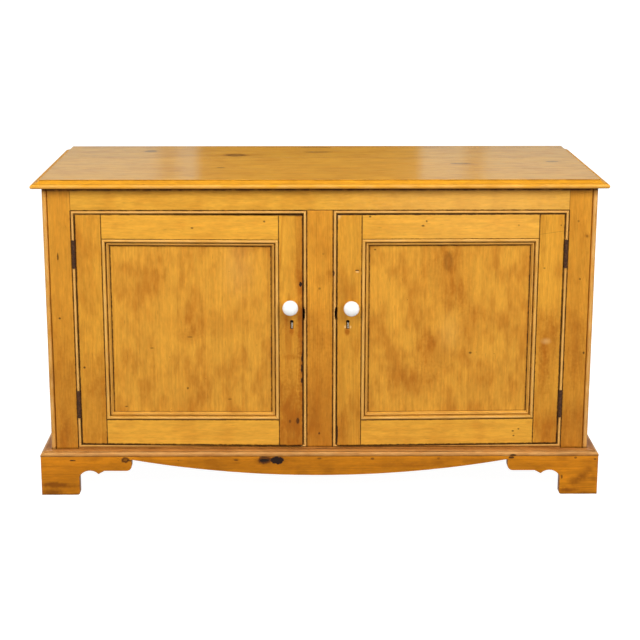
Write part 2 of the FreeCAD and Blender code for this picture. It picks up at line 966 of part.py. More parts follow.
def make_plinth():
    """Shaped plinth boards on bracket feet, with a mitred moulding on top of them."""
    reach = s.plinth_thickness
    half = half_carcass + reach
    board_up = (NIL, plinth_top)
    face = prism("plinth_front_face", "XZ", apron_outline(half, s.apron_drop), (-reach, NIL))
    plan = prism("plinth_front_plan", "XY", front_plan(reach), board_up)
    finish("plinth_front", common("plinth_front_mitred", face, plan))
    strip = s.plinth_moulding_reach
    strip_half = half_carcass + strip
    strip_up = (plinth_top, ledge_level)
    run = prism("ledge_front_run", "YZ", ledge_section(NIL, -1), (-strip_half, strip_half))
    plan = prism("ledge_front_plan", "XY", front_plan(strip), strip_up)
    finish("plinth_moulding_front", common("ledge_front_mitred", run, plan))
    side_half = (s.carcass_depth + reach) / 2
    outline = moved(apron_outline(side_half, s.side_apron_drop), s.carcass_depth - side_half)
    for name, side in SIDES.items():
        across = (side * half_carcass, side * half)
        face = prism(f"plinth_{name}_face", "YZ", outline, across)
        plan = prism(f"plinth_{name}_plan", "XY", side_plan(side, reach), board_up)
        finish(f"plinth_{name}", common(f"plinth_{name}_mitred", face, plan))
        section = ledge_section(side * half_carcass, side)
        run = prism(f"ledge_{name}_run", "XZ", section, (-strip, s.carcass_depth))
        plan = prism(f"ledge_{name}_plan", "XY", side_plan(side, strip), strip_up)
        finish(f"plinth_moulding_{name}", common(f"ledge_{name}_mitred", run, plan))


def door_low(across):
    """The level of a door's bottom edge, which falls from the hinges to the lock."""
    share = (door_hinge_edge - across) / door_width
    return door_low_at_hinge - (door_low_at_hinge - door_low_at_lock) * share


def make_door(name, side):
    """A framed door: grooved stiles and rails, a flat panel and planted mouldings."""
    thickness = (NIL, s.door_thickness)
    groove = (s.panel_recess, s.panel_recess + s.panel_thickness)
    tenon = s.door_tenon_length
    rail_ends = (panel_lock_line, panel_hinge_line)
    haunched = {
        "top": (panel_top_line + s.groove_depth, door_top - s.door_haunch),
        "bottom": (door_low_at_hinge + s.door_haunch, panel_low_line - s.groove_depth),
    }

    def tool(label, across, back, up):
        """A block in the door, its places across given for the right-hand door."""
        return block(f"{name}_{label}", (side * across[0], side * across[1]), back, up)

    def stile(label, inner, inward):
        """The tools that groove a stile and cut its two mortises."""
        tools = [
            tool(
                f"{label}_groove",
                (inner, inner - inward * s.groove_depth),
                groove,
                (panel_low_line - s.groove_depth, panel_top_line + s.groove_depth),
            )
        ]
        for rail, up in haunched.items():
            tools.append(
                tool(f"{label}_{rail}_mortise", (inner, inner - inward * tenon), groove, up)
            )
        return tools

    hinge_stile = prism(
        f"{name}_hinge_stile_blank",
        "XZ",
        [
            (side * door_hinge_edge, door_low_at_hinge),
            (side * panel_hinge_line, door_low(panel_hinge_line)),
            (side * panel_hinge_line, door_top),
            (side * door_hinge_edge, door_top),
        ],
        thickness,
    )
    screws = door_screw_tools(name, side)
    finish(
        f"{name}_door_hinge_stile",
        cut(
            f"{name}_hinge_stile_cut",
            hinge_stile,
            stile("hinge_stile", panel_hinge_line, -1) + [screws],
        ),
    )
    corner = s.worn_corner_radius
    worn = door_lock_edge + corner
    lock_stile = prism(
        f"{name}_lock_stile_blank",
        "XZ",
        [
            (side * door_lock_edge, door_top),
            (side * panel_lock_line, door_top),
            (side * panel_lock_line, door_low(panel_lock_line)),
            (side * worn, door_low(worn)),
            (
                side * door_lock_edge,
                door_low(worn) + corner,
                corner,
                side * worn,
                door_low(worn) + corner,
            ),
        ],
        thickness,
    )
    finish(
        f"{name}_door_lock_stile",
        cut(
            f"{name}_lock_stile_cut",
            lock_stile,
            stile("lock_stile", panel_lock_line, 1)
            + lock_recess(name, side)
            + [knob_hole(name, side)],
        ),
    )
    for rail in ("top", "bottom"):
        if rail == "top":
            low, high = (panel_top_line, panel_top_line), door_top
            groove_up = (panel_top_line, panel_top_line + s.groove_depth)
        else:
            low = (door_low(panel_lock_line), door_low(panel_hinge_line))
            high = panel_low_line
            groove_up = (panel_low_line - s.groove_depth, panel_low_line)
        bar = prism(
            f"{name}_{rail}_rail_bar",
            "XZ",
            [
                (side * rail_ends[0], low[0]),
                (side * rail_ends[1], low[1]),
                (side * rail_ends[1], high),
                (side * rail_ends[0], high),
            ],
            thickness,
        )
        tenons = tool(
            f"{rail}_rail_tenons",
            (rail_ends[0] - tenon, rail_ends[1] + tenon),
            groove,
            haunched[rail],
        )
        channel = tool(f"{rail}_rail_groove", rail_ends, groove, groove_up)
        whole = join(f"{name}_{rail}_rail_whole", [bar, tenons])
        finish(f"{name}_door_{rail}_rail", cut(f"{name}_{rail}_rail_cut", whole, [channel]))
    margin = s.groove_depth - s.panel_play
    panel = tool(
        "panel_board",
        (panel_lock_line - margin, panel_hinge_line + margin),
        groove,
        (panel_low_line - margin, panel_top_line + margin),
    )
    finish(f"{name}_door_panel", panel)
    make_panel_mouldings(name, side)
    make_hinge_leaves(name, side)
    make_knob(name, side)
    make_lock(name, side)


def moulding_section(line, inward):
    """A planted moulding's section as places across and back: bead, valley, ridge and cove."""
    radius = s.moulding_bead_radius
    spring = radius - s.moulding_proud
    valley = s.moulding_valley_depth
    bead_end = radius * 2
    ridge = s.moulding_ridge_radius
    slope_end = bead_end + s.moulding_valley_slope
    ridge_start = slope_end + s.moulding_valley_width
    ridge_middle = ridge_start + ridge
    ridge_end = ridge_middle + ridge
    foot = s.panel_recess - s.moulding_foot

    def across(size):
        """A place across, measured in from the frame."""
        return line + inward * size

    return [
        (across(NIL), s.panel_recess),
        (across(NIL), spring),
        (across(radius), -s.moulding_proud, radius, across(radius), spring),
        (across(bead_end), spring, radius, across(radius), spring),
        (across(slope_end), valley),
        (across(ridge_start), valley),
        (across(ridge_middle), valley - ridge, ridge, across(ridge_middle), valley),
        (across(ridge_end), valley, ridge, across(ridge_middle), valley),
        (across(s.moulding_width), foot, s.moulding_cove_radius, across(s.moulding_width), NIL),
        (across(s.moulding_width), s.panel_recess),
    ]


def make_panel_mouldings(name, side):
    """Four mitred lengths of moulding planted round a door's panel."""
    width = s.moulding_width
    depth = (-s.moulding_proud, s.panel_recess)
    low, high = panel_low_line, panel_top_line
    lock_line, hinge_line = panel_lock_line, panel_hinge_line
    inner_low, inner_high = low + width, high - width
    inner_lock, inner_hinge = lock_line + width, hinge_line - width
    lengths = {"stile": [], "rail": []}
    for label, line, inner, inward in (
        ("lock", lock_line, inner_lock, 1),
        ("hinge", hinge_line, inner_hinge, -1),
    ):
        section = moulding_section(side * line, side * inward)
        run = prism(f"{name}_{label}_moulding_run", "XY", section, (low, high))
        face = [
            (side * line, low),
            (side * inner, inner_low),
            (side * inner, inner_high),
            (side * line, high),
        ]
        mitre = prism(f"{name}_{label}_moulding_face", "XZ", face, depth)
        lengths["stile"].append(common(f"{name}_{label}_moulding", run, mitre))
    for label, line, inner, inward in (("low", low, inner_low, 1), ("high", high, inner_high, -1)):
        section = swap(moulding_section(line, inward))
        run = prism(
            f"{name}_{label}_moulding_run", "YZ", section, (side * lock_line, side * hinge_line)
        )
        face = [
            (side * lock_line, line),
            (side * inner_lock, inner),
            (side * inner_hinge, inner),
            (side * hinge_line, line),
        ]
        mitre = prism(f"{name}_{label}_moulding_face", "XZ", face, depth)
        lengths["rail"].append(common(f"{name}_{label}_moulding", run, mitre))
    for kind, sticks in lengths.items():
        finish(f"{name}_door_{kind}_mouldings", gather(f"{name}_{kind}_moulding_set", sticks))


def screw(name, head_centre, direction):
    """A countersunk screw along X: a cone for its head and a round shank."""
    axis = FreeCAD.Vector(0, 1, 0)
    angle = 90 * direction
    cone = doc.addObject("Part::Cone", f"{name}_head")
    bind(cone, "Radius1", s.screw_head_radius)
    bind(cone, "Radius2", s.screw_radius)
    bind(cone, "Height", s.screw_head_depth)
    turn_and_place(cone, head_centre, axis, angle)
    shank = rod(f"{name}_shank", s.screw_radius, s.screw_length, head_centre, axis, angle)
    return join(name, [cone, shank])


def leaf_plan(kind):
    """Where one leaf of a hinge lies: its wood's face, its own face and its knuckles."""
    if kind == "frame":
        wood, inward = stile_line, -1
        own = range(0, KNUCKLE_COUNT, 2)
    else:
        wood, inward = door_hinge_edge, 1
        own = range(1, KNUCKLE_COUNT, 2)
    return wood, wood + inward * s.hinge_leaf_thickness, inward, own


def knuckle_span(level, place):
    """The low and high end of one knuckle of a hinge."""
    knuckle = (s.hinge_length - s.hinge_running_gap * (KNUCKLE_COUNT - 1)) / KNUCKLE_COUNT
    low = level + (knuckle + s.hinge_running_gap) * place
    return low, low + knuckle


def leaf_screws(name, side, kind, level):
    """The three screws that hold one hinge leaf to its wood."""
    _, face, inward, _ = leaf_plan(kind)
    edge = hinge_axis_y + knuckle_radius
    screws = []
    for place, (up_share, back_share) in enumerate(HINGE_SCREW_SHARES):
        centre = (
            side * face,
            edge + (s.hinge_leaf_edge - edge) * back_share,
            level + s.hinge_length * up_share,
        )
        screws.append(screw(f"{name}_{kind}_screw_{place}", centre, -inward * side))
    return screws


def door_screw_tools(name, side):
    """The holes that one door's hinge screws leave in its hinge stile."""
    screws = []
    for place, level in HINGE_LEVELS.items():
        screws += leaf_screws(f"{name}_{place}_hole", side, "door", level)
    return gather(f"{name}_door_screw_holes", screws)


def hinge_leaf(name, side, kind, level):
    """One cast leaf with its knuckles on the pin line, bored and countersunk."""
    wood, face, inward, own = leaf_plan(kind)
    plate_front = hinge_axis_y + knuckle_radius + s.hinge_end_gap
    solids = [
        block(
            f"{name}_plate",
            (side * wood, side * face),
            (plate_front, s.hinge_leaf_edge),
            (level, level + s.hinge_length),
        )
    ]
    bores = []
    bore = s.pin_radius if kind == "frame" else s.pin_radius + s.pin_clearance
    upright = FreeCAD.Vector(0, 0, 1)
    for place in own:
        low, high = knuckle_span(level, place)
        centre = (side * hinge_axis_x, hinge_axis_y, low)
        solids.append(rod(f"{name}_knuckle_{place}", knuckle_radius, high - low, centre, upright, 0))
        solids.append(
            block(
                f"{name}_web_{place}",
                (side * wood, side * face),
                (hinge_axis_y, plate_front),
                (low, high),
            )
        )
        bores.append(rod(f"{name}_bore_{place}", bore, high - low, centre, upright, 0))
    holes = gather(f"{name}_holes", leaf_screws(f"{name}_hole", side, kind, level))
    return cut(name, join(f"{name}_whole", solids), bores + [holes])


def make_hinge_leaves(name, side):
    """The door leaves of one door's two hinges, and their screws."""
    leaves = []
    screws = []
    for place, level in HINGE_LEVELS.items():
        leaves.append(hinge_leaf(f"{name}_{place}_door_leaf", side, "door", level))
        screws += leaf_screws(f"{name}_{place}", side, "door", level)
    finish(f"{name}_door_hinge_leaves", gather(f"{name}_door_leaf_set", leaves))
    finish(f"{name}_door_hinge_screws", gather(f"{name}_door_screw_set", screws))


def make_frame_hinges():
    """The frame leaves, pins and screws of all four hinges."""
    leaves = []
    pins = []
    screws = []
    for name, side in SIDES.items():
        for place, level in HINGE_LEVELS.items():
            label = f"{name}_{place}"
            leaves.append(hinge_leaf(f"{label}_frame_leaf", side, "frame", level))
            centre = (side * hinge_axis_x, hinge_axis_y, level)
            upright = FreeCAD.Vector(0, 0, 1)
            pins.append(rod(f"{label}_pin", s.pin_radius, s.hinge_length, centre, upright, 0))
            screws += leaf_screws(label, side, "frame", level)
    finish("frame_hinge_leaves", gather("frame_leaf_set", leaves))
    finish("hinge_pins", gather("pin_set", pins))
    finish("frame_hinge_screws", gather("frame_screw_set", screws))


def knob_place(name, side):
    """Where a knob's centre line crosses the face of its door."""
    inset = s.left_knob_inset if name == "left" else s.right_knob_inset
    level = s.left_knob_level if name == "left" else s.right_knob_level
    return side * (door_lock_edge + inset), level


def rod_along_y(name, radius, centre, span):
    """A round rod that runs back between two planes."""
    low, high = ordered(*span)
    across, up = centre
    length = high - low
    return rod(name, radius, length, (across, high, up), FreeCAD.Vector(1, 0, 0), 90)


def knob_hole(name, side):
    """The hole through the lock stile for the knob's bolt."""
    span = (NIL, s.door_thickness)
    return rod_along_y(f"{name}_knob_hole", s.knob_bolt_radius, knob_place(name, side), span)


def level_curve(run, rise):
    """The radius of an arc that ends level after a run along it and a rise across it."""
    return (run * run + rise * rise) / (rise * 2)


def make_knob(name, side):
    """A turned porcelain knob on a bolt, with a washer and square nut behind the door."""
    centre = knob_place(name, side)
    neck = s.knob_neck_radius
    belly = level_curve(s.knob_belly_reach - s.knob_neck_reach, s.knob_radius - neck)
    shoulder = level_curve(
        s.knob_shoulder_reach - s.knob_belly_reach, s.knob_radius - s.knob_shoulder_radius
    )
    crown = level_curve(s.knob_shoulder_radius, s.knob_reach - s.knob_shoulder_reach)
    outline = [
        (NIL, s.knob_bolt_radius),
        (NIL, s.knob_seat_radius),
        (-s.knob_seat_height, s.knob_seat_radius),
        (-s.knob_neck_reach, neck, s.knob_neck_curve, -s.knob_neck_reach, s.knob_radius),
        (-s.knob_belly_reach, s.knob_radius, belly, -s.knob_belly_reach, NIL),
        (-s.knob_shoulder_reach, s.knob_shoulder_radius, shoulder, -s.knob_belly_reach, NIL),
        (-s.knob_reach, NIL, crown, NIL, NIL),
        (-s.knob_bolt_depth, NIL),
        (-s.knob_bolt_depth, s.knob_bolt_radius),
    ]
    knob = spun(f"{name}_knob_turned", outline)
    bind(knob, "Placement.Base.x", centre[0])
    bind(knob, "Placement.Base.z", centre[1])
    finish(f"{name}_knob", knob)
    back = s.door_thickness
    washer_back = back + s.knob_washer_thickness
    nut_back = washer_back + s.knob_nut_thickness
    bolt_span = (-s.knob_bolt_depth, back + s.knob_bolt_tail)
    bolt = rod_along_y(f"{name}_knob_bolt", s.knob_bolt_radius, centre, bolt_span)
    washer = cut(
        f"{name}_knob_washer",
        rod_along_y(f"{name}_washer_disc", s.knob_washer_radius, centre, (back, washer_back)),
        [rod_along_y(f"{name}_washer_hole", s.knob_bolt_radius, centre, (back, washer_back))],
    )
    half = s.knob_nut_width / 2
    nut = cut(
        f"{name}_knob_nut",
        block(
            f"{name}_nut_block",
            (centre[0] - half, centre[0] + half),
            (washer_back, nut_back),
            (centre[1] - half, centre[1] + half),
        ),
        [rod_along_y(f"{name}_nut_hole", s.knob_bolt_radius, centre, (washer_back, nut_back))],
    )
    finish(f"{name}_knob_fixing", gather(f"{name}_knob_fixing_set", [bolt, washer, nut]))


def keyhole(name, side, span):
    """A keyhole's shape between two planes: a round eye over a slot."""
    centre = (side * (door_lock_edge + s.keyhole_inset), s.keyhole_level)
    eye = rod_along_y(f"{name}_eye", s.keyhole_radius, centre, span)
    half = s.keyhole_slot_width / 2
    slot = block(
        f"{name}_slot", (centre[0] - half, centre[0] + half), span, (s.keyhole_foot, centre[1])
    )
    return join(name, [eye, slot])


def lock_body(name, side, back):
    """The outside of a lock: its case in the stile's back and its plate in the edge."""
    edge = door_lock_edge
    case = block(
        f"{name}_case",
        (side * edge, side * (edge + s.lock_width)),
        (s.lock_face, back),
        (s.lock_low, s.lock_high),
    )
    plate = block(
        f"{name}_selvedge",
        (side * edge, side * (edge + s.selvedge_thickness)),
        (s.selvedge_face, back),
        (s.lock_low - s.selvedge_margin, s.lock_high + s.selvedge_margin),
    )
    return join(name, [case, plate])


def lock_screw_set(name, side):
    """Two small screws through the foot of a lock's case into the stile."""
    screws = []
    axis = FreeCAD.Vector(1, 0, 0)
    for place, inset in enumerate((s.lock_screw_margin, s.lock_width - s.lock_screw_margin)):
        centre = (
            side * (door_lock_edge + inset),
            s.door_thickness,
            s.lock_low + s.lock_screw_margin,
        )
        head = doc.addObject("Part::Cone", f"{name}_head_{place}")
        bind(head, "Radius1", s.lock_screw_head_radius)
        bind(head, "Radius2", s.lock_screw_radius)
        bind(head, "Height", s.lock_screw_head_depth)
        turn_and_place(head, centre, axis, 90)
        shank = rod(
            f"{name}_shank_{place}", s.lock_screw_radius, s.lock_screw_length, centre, axis, 90
        )
        screws.append(join(f"{name}_{place}", [head, shank]))
    return gather(name, screws)


def lock_recess(name, side):
    """What is cut from a lock stile for its lock, screws and keyhole."""
    return [
        lock_body(f"{name}_lock_recess", side, s.door_thickness),
        lock_screw_set(f"{name}_lock_screw_holes", side),
        keyhole(f"{name}_keyhole", side, (NIL, s.lock_face)),
    ]


def bolt_block(name, side, margin, length):
    """The lock bolt's shape, or with a margin the channel that it slides in."""
    edge = door_lock_edge
    return block(
        name,
        (side * edge, side * (edge + length)),
        (s.bolt_face - margin, s.bolt_face + s.bolt_thickness + margin),
        (s.bolt_low - margin, s.bolt_low + s.bolt_height + margin),
    )


def make_lock(name, side):
    """A cut cupboard lock: case with bolt channel, keyway and key pin, and its bolt."""
    body = lock_body(f"{name}_lock_body", side, s.door_thickness)
    channel_length = s.bolt_length + s.bolt_clearance
    channel = bolt_block(f"{name}_bolt_channel", side, s.bolt_clearance, channel_length)
    keyway_back = s.lock_face + s.keyway_depth
    keyway = keyhole(f"{name}_keyway", side, (s.lock_face, keyway_back))
    holes = lock_screw_set(f"{name}_lock_case_holes", side)
    hollow = cut(f"{name}_lock_hollow", body, [channel, keyway, holes])
    pin_centre = (side * (door_lock_edge + s.keyhole_inset), s.keyhole_level)
    pin = rod_along_y(
        f"{name}_key_pin", s.key_pin_radius, pin_centre, (s.key_pin_reach, keyway_back)
    )
    finish(f"{name}_lock_case", join(f"{name}_lock_with_pin", [hollow, pin]))
    finish(f"{name}_lock_screws", lock_screw_set(f"{name}_lock_screw_set", side))
    finish(f"{name}_lock_bolt", bolt_block(f"{name}_bolt_bar", side, NIL, s.bolt_length))


def frame_screw_tools(name, side):
    """The holes that the frame leaves' screws leave in an outer stile."""
    screws = []
    for place, level in HINGE_LEVELS.items():
        screws += leaf_screws(f"{name}_{place}_frame_hole", side, "frame", level)
    return gather(f"{name}_frame_screw_holes", screws)


def check_all():
    """Stop with a list of whatever failed to build."""
    faults = [f"{thing.Name}: {thing.State}" for thing in doc.Objects if "Invalid" in thing.State]
    faults += [f"{thing.Name}: {thing.State}" for thing in doc.Objects if "Error" in thing.State]
    for thing in pieces:
        if thing.Shape.isNull() or not thing.Shape.isValid() or not thing.Shape.Solids:
            faults.append(f"{thing.Label}: no valid solid")
    if faults:
        raise RuntimeError("; ".join(faults))


make_top()
make_sides()
make_inside()
make_frame()
make_beads()
make_plinth()
for door_name, door_side in SIDES.items():
    make_door(door_name, door_side)
make_frame_hinges()
doc.recompute()
check_all()

os.makedirs("parts", exist_ok=True)
for piece in pieces:
    piece.Shape.exportStep(os.path.join("parts", f"{piece.Label}.step"))
print(len(pieces), "pieces,", sum(len(piece.Shape.Solids) for piece in pieces), "solids")
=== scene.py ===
"""The looks of an old two-door pine sideboard, built round its CAD frame.

Everything is in metres. X runs along the wall, Y back from the front, Z up from the floor.
"""

import json
import logging
import math
from collections.abc import Callable
from dataclasses import dataclass, field, replace
from enum import Enum
from functools import partial

import bmesh
import bpy
import numpy as np
from bpy.types import ID, Material, Mesh, Node, NodeSocket, NodeTree, Object, World
from mathutils import Matrix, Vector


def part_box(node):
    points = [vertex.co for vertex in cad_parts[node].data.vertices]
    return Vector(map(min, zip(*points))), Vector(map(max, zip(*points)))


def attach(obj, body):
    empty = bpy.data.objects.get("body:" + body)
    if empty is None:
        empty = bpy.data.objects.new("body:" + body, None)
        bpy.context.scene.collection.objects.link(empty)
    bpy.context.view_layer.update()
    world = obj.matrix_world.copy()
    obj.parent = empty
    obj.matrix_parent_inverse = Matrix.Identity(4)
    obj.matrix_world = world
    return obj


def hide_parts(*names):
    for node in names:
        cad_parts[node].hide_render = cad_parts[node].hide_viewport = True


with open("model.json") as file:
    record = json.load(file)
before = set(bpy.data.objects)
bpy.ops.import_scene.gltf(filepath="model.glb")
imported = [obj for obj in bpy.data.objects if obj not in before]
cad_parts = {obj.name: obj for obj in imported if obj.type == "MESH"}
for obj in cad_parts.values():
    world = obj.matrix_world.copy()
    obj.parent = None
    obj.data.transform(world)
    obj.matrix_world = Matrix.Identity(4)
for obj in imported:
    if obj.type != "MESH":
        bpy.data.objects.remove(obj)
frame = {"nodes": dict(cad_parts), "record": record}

log = logging.getLogger("sideboard")
MM = 0.001
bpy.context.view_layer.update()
BODY_OF = {node: body for body, nodes in frame["record"]["behaviour"]["bodies"].items() for node in nodes}
SIDES = {"left": -1, "right": 1}

# Numbers for a flat place or a span, and for a place in space
Pair = tuple[float, float]
Point = tuple[float, float, float]

# Lines of the front that several pieces share, read from the CAD nodes
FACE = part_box("centre_stile")[0].y
STILE_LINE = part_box("frame_top_rail")[1].x - 30 * MM
CENTRE_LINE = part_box("centre_stile")[1].x
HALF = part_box("right_stile")[1].x
RAIL_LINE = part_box("frame_top_rail")[0].z - 0.8 * MM
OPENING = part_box("frame_bottom_rail")[1].z
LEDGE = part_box("plinth_moulding_front")[1].z + 2.5 * MM
PLINTH_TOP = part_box("plinth_front")[1].z + 2 * MM


class Lay(Enum):
    """Which world axes a length of wood runs along, is wide across and is thick in."""

    UPRIGHT = (2, 0, 1)
    LEVEL = (0, 2, 1)
    UPRIGHT_END = (2, 1, 0)
    ALONG = (0, 1, 2)
    BACK = (1, 0, 2)


class Grain(Enum):
    """The world axis that a board's grain follows, as the turn that brings it to Z."""

    X = (0.0, -math.pi / 2, 0.0)
    Y = (math.pi / 2, 0.0, 0.0)
    Z = (0.0, 0.0, 0.0)


class Mark(Enum):
    """Kinds of mark in a board: how hard, soft, pale and grain-bending each is."""

    KNOT = (0.62, 1.0, 0.0, 1.0)
    PIN_KNOT = (0.8, 0.2, 0.0, 0.35)
    HOLE = (1.0, 0.0, 0.0, 0.0)
    STAIN = (0.0, 1.0, 0.0, 0.0)
    PALE = (0.0, 0.0, 1.0, 0.0)


# The kinds by their own names, for the lists of marks
KNOT, PIN_KNOT, HOLE, STAIN, PALE = Mark


def linear(code: str) -> tuple[float, float, float, float]:
    """Turn an sRGB hex colour to linear.

    Args:
        code: The colour as #RRGGBB.

    Returns:
        Its red, green, blue and an alpha of one.
    """
    parts = [int(code[place:place + 2], 16) / 255 for place in (1, 3, 5)]
    return (*(part / 12.92 if part <= 0.04045 else ((part + 0.055) / 1.055) ** 2.4 for part in parts), 1.0)


def ripple(points: np.ndarray, wavelength: float, seed: int) -> np.ndarray:
    """Smooth random heights: the sum of eight sine waves in random directions.

    Args:
        points: Places, any shape ending in three.
        wavelength: The mean length of the waves in metres.
        seed: Which of the random sets.

    Returns:
        Heights of about -1 to 1.
    """
    rng = np.random.default_rng(seed)
    ways = rng.normal(size=(8, 3))
    ways /= np.linalg.norm(ways, axis=1, keepdims=True) * wavelength * rng.uniform(0.6, 1.6, (8, 1))
    return np.sin(points @ ways.T * 2 * math.pi + rng.uniform(0, 2 * math.pi, 8)).sum(-1) / 3


def bend(centre: Pair, radius: float, start: float, stop: float, count: int = 9) -> np.ndarray:
    """Points along an arc: centre plus radius times the cosine and sine of the turn.

    Args:
        centre: The arc's centre, across and deep.
        radius: Its radius.
        start: The first turn in degrees.
        stop: The last turn in degrees.
        count: How many points.

    Returns:
        An array of (count, 2).
    """
    turn = np.radians(np.linspace(start, stop, count))
    return np.stack([centre[0] + radius * np.cos(turn), centre[1] + radius * np.sin(turn)], 1)


def arc_to(start: Pair, stop: Pair, radius: float, toward: Pair,
           count: int = 9) -> np.ndarray:
    """Points along the short arc between two points, its centre on the side of a third.

    Args:
        start: Where it starts.
        stop: Where it stops.
        radius: Its radius.
        toward: A point on the centre's side.
        count: How many points.

    Returns:
        An array of (count, 2).
    """
    first, last = np.array(start), np.array(stop)
    middle, chord = (first + last) / 2, last - first
    across = np.array([-chord[1], chord[0]]) / np.linalg.norm(chord)
    across *= np.sign(np.dot(np.array(toward) - middle, across))
    centre = middle + across * math.sqrt(max(radius ** 2 - chord @ chord / 4, 0))
    begin = math.atan2(*(first - centre)[::-1])
    turn = (math.atan2(*(last - centre)[::-1]) - begin + math.pi) % (2 * math.pi) - math.pi
    return bend(tuple(centre), radius, math.degrees(begin), math.degrees(begin + turn), count)


@dataclass
class Section:
    """The closed outline that a length of wood is run to."""

    points: np.ndarray
    edge: np.ndarray
    wax: np.ndarray
    wear: np.ndarray

    @classmethod
    def of(cls, corners: list, step: float = 8 * MM) -> "Section":
        """Round the corners of an outline and divide its flats.

        A corner is (across, deep, radius) with optional wax and wear, or an array of arc points
        paired with its wax and wear. A rounded corner is the parabola between its two tangent points.

        Args:
            corners: The corners and arcs in order.
            step: The longest flat piece.

        Returns:
            The section with its weights for edges, wax and wear.
        """
        firsts = [item[0][0] if isinstance(item[0], np.ndarray) else np.array(item[:2]) for item in corners]
        lasts = [item[0][-1] if isinstance(item[0], np.ndarray) else np.array(item[:2]) for item in corners]
        rows = []
        for place, item in enumerate(corners):
            if isinstance(item[0], np.ndarray):
                weights = [np.broadcast_to(value, len(item[0])) for value in (0.3, item[1], item[2])]
                rows.append(np.column_stack([item[0], *weights]))
            else:
                corner = np.array(item[:2])
                wax, wear = (tuple(item[3:]) + (0.0, 0.0))[:2]
                before = lasts[place - 1] - corner
                after = firsts[(place + 1) % len(corners)] - corner
                start = corner + before / np.linalg.norm(before) * item[2]
                stop = corner + after / np.linalg.norm(after) * item[2]
                share = np.linspace(0, 1, 4 if item[2] else 1)[:, None]
                curve = (1 - share) ** 2 * start + 2 * share * (1 - share) * corner + share ** 2 * stop
                rows.append(np.column_stack([curve, np.tile([1.0, wax, wear], (len(curve), 1))]))
        parts = []
        for place, row in enumerate(rows):
            parts.append(row)
            start, stop = row[-1], rows[(place + 1) % len(rows)][0]
            length = np.linalg.norm(stop[:2] - start[:2])
            if length > 2 * MM:
                inner = np.linspace(0.7 * MM, length - 0.7 * MM, max(2, int(length / step) + 1)) / length
                flat = start + (stop - start) * inner[:, None]
                flat[:, 2:] = 0
                parts.append(flat)
        table = np.concatenate(parts)
        keep = np.linalg.norm(table[:, :2] - np.roll(table[:, :2], 1, 0), axis=1) > 1e-6
        table = table[keep]
        following = np.roll(table, -1, 0)
        if np.sum(table[:, 0] * following[:, 1] - following[:, 0] * table[:, 1]) < 0:
            table = table[::-1]
        return cls(table[:, :2], table[:, 2], table[:, 3], table[:, 4])

    def normals(self) -> np.ndarray:
        """The outward directions, square to the line between each point's neighbours."""
        along = np.roll(self.points, -1, 0) - np.roll(self.points, 1, 0)
        out = np.stack([along[:, 1], -along[:, 0]], 1)
        return out / np.maximum(np.linalg.norm(out, axis=1, keepdims=True), 1e-9)

    def mirrored(self) -> "Section":
        """The same outline for the other hand."""
        return Section(self.points[::-1] * (-1, 1), self.edge[::-1], self.wax[::-1], self.wear[::-1])


class Skin:
    """Patches of surface gathered into one closed mesh."""

    def __init__(self) -> None:
        """Start with no points."""
        self.points: list[np.ndarray] = []
        self.weights: list[np.ndarray] = []
        self.faces: list[np.ndarray] = []
        self.count = 0

    @classmethod
    def of(cls, grid: np.ndarray, wax: np.ndarray | float = 0.0, wear: np.ndarray | float = 0.0) -> "Skin":
        """A closed skin of one grid."""
        skin = cls()
        skin.add(grid, wax, wear)
        return skin

    def add(self, grid: np.ndarray, wax: np.ndarray | float = 0.0, wear: np.ndarray | float = 0.0,
            wrap: bool = True, lids: bool = True) -> None:
        """Lay quads over a grid of points, and a lid on its first and last row.

        Args:
            grid: Points as (rows, columns, 3).
            wax: Dirt of each point, or of all.
            wear: Rubbing of each point, or of all.
            wrap: Join the last column to the first.
            lids: Close the first and last row.
        """
        rows, columns = grid.shape[:2]
        index = np.arange(rows * columns).reshape(rows, columns) + self.count
        if wrap:
            index = np.column_stack([index, index[:, :1]])
        quads = np.stack([index[:-1, :-1], index[:-1, 1:], index[1:, 1:], index[1:, :-1]], -1)
        self.faces.append(quads.reshape(-1, 4))
        if lids:
            self.faces += [index[:1, :columns][:, ::-1], index[-1:, :columns]]
        self.points.append(grid.reshape(-1, 3))
        spread = [np.broadcast_to(value, (rows, columns)).ravel() for value in (wax, wear)]
        self.weights.append(np.stack(spread, 1))
        self.count += rows * columns

    def build(self, name: str, sharp: float = 34.0) -> Object:
        """Put the patches into a mesh, weld what meets and turn the faces outwards.

        Args:
            name: The object's name.
            sharp: The angle in degrees from which an edge is drawn sharp.

        Returns:
            The new object, linked to the scene.
        """
        mesh = bpy.data.meshes.new(name)
        points = np.concatenate(self.points)
        sizes = np.concatenate([np.full(len(face), face.shape[1]) for face in self.faces])
        loops = np.concatenate([face.ravel() for face in self.faces])
        mesh.vertices.add(len(points))
        mesh.vertices.foreach_set("co", points.astype(np.float32).ravel())
        mesh.loops.add(len(loops))
        mesh.loops.foreach_set("vertex_index", loops.astype(np.int32))
        mesh.polygons.add(len(sizes))
        mesh.polygons.foreach_set("loop_start", (np.cumsum(sizes) - sizes).astype(np.int32))
        mesh.update(calc_edges=True)
        for place, word in enumerate(("wax", "wear")):
            layer = mesh.attributes.new(word, "FLOAT", "POINT")
            layer.data.foreach_set("value", np.concatenate(self.weights)[:, place].astype(np.float32))
        work = bmesh.new()
        work.from_mesh(mesh)
        bmesh.ops.remove_doubles(work, verts=work.verts, dist=2e-6)
        bmesh.ops.recalc_face_normals(work, faces=work.faces)
        if work.calc_volume(signed=True) < 0:
            bmesh.ops.reverse_faces(work, faces=work.faces)
        work.to_mesh(mesh)
        work.free()
        mesh.validate()
        return finished(mesh, name, sharp)


def linked(name: str, data: ID) -> Object:
    """An object of some data, linked to the scene."""
    thing = bpy.data.objects.new(name, data)
    bpy.context.scene.collection.objects.link(thing)
    return thing


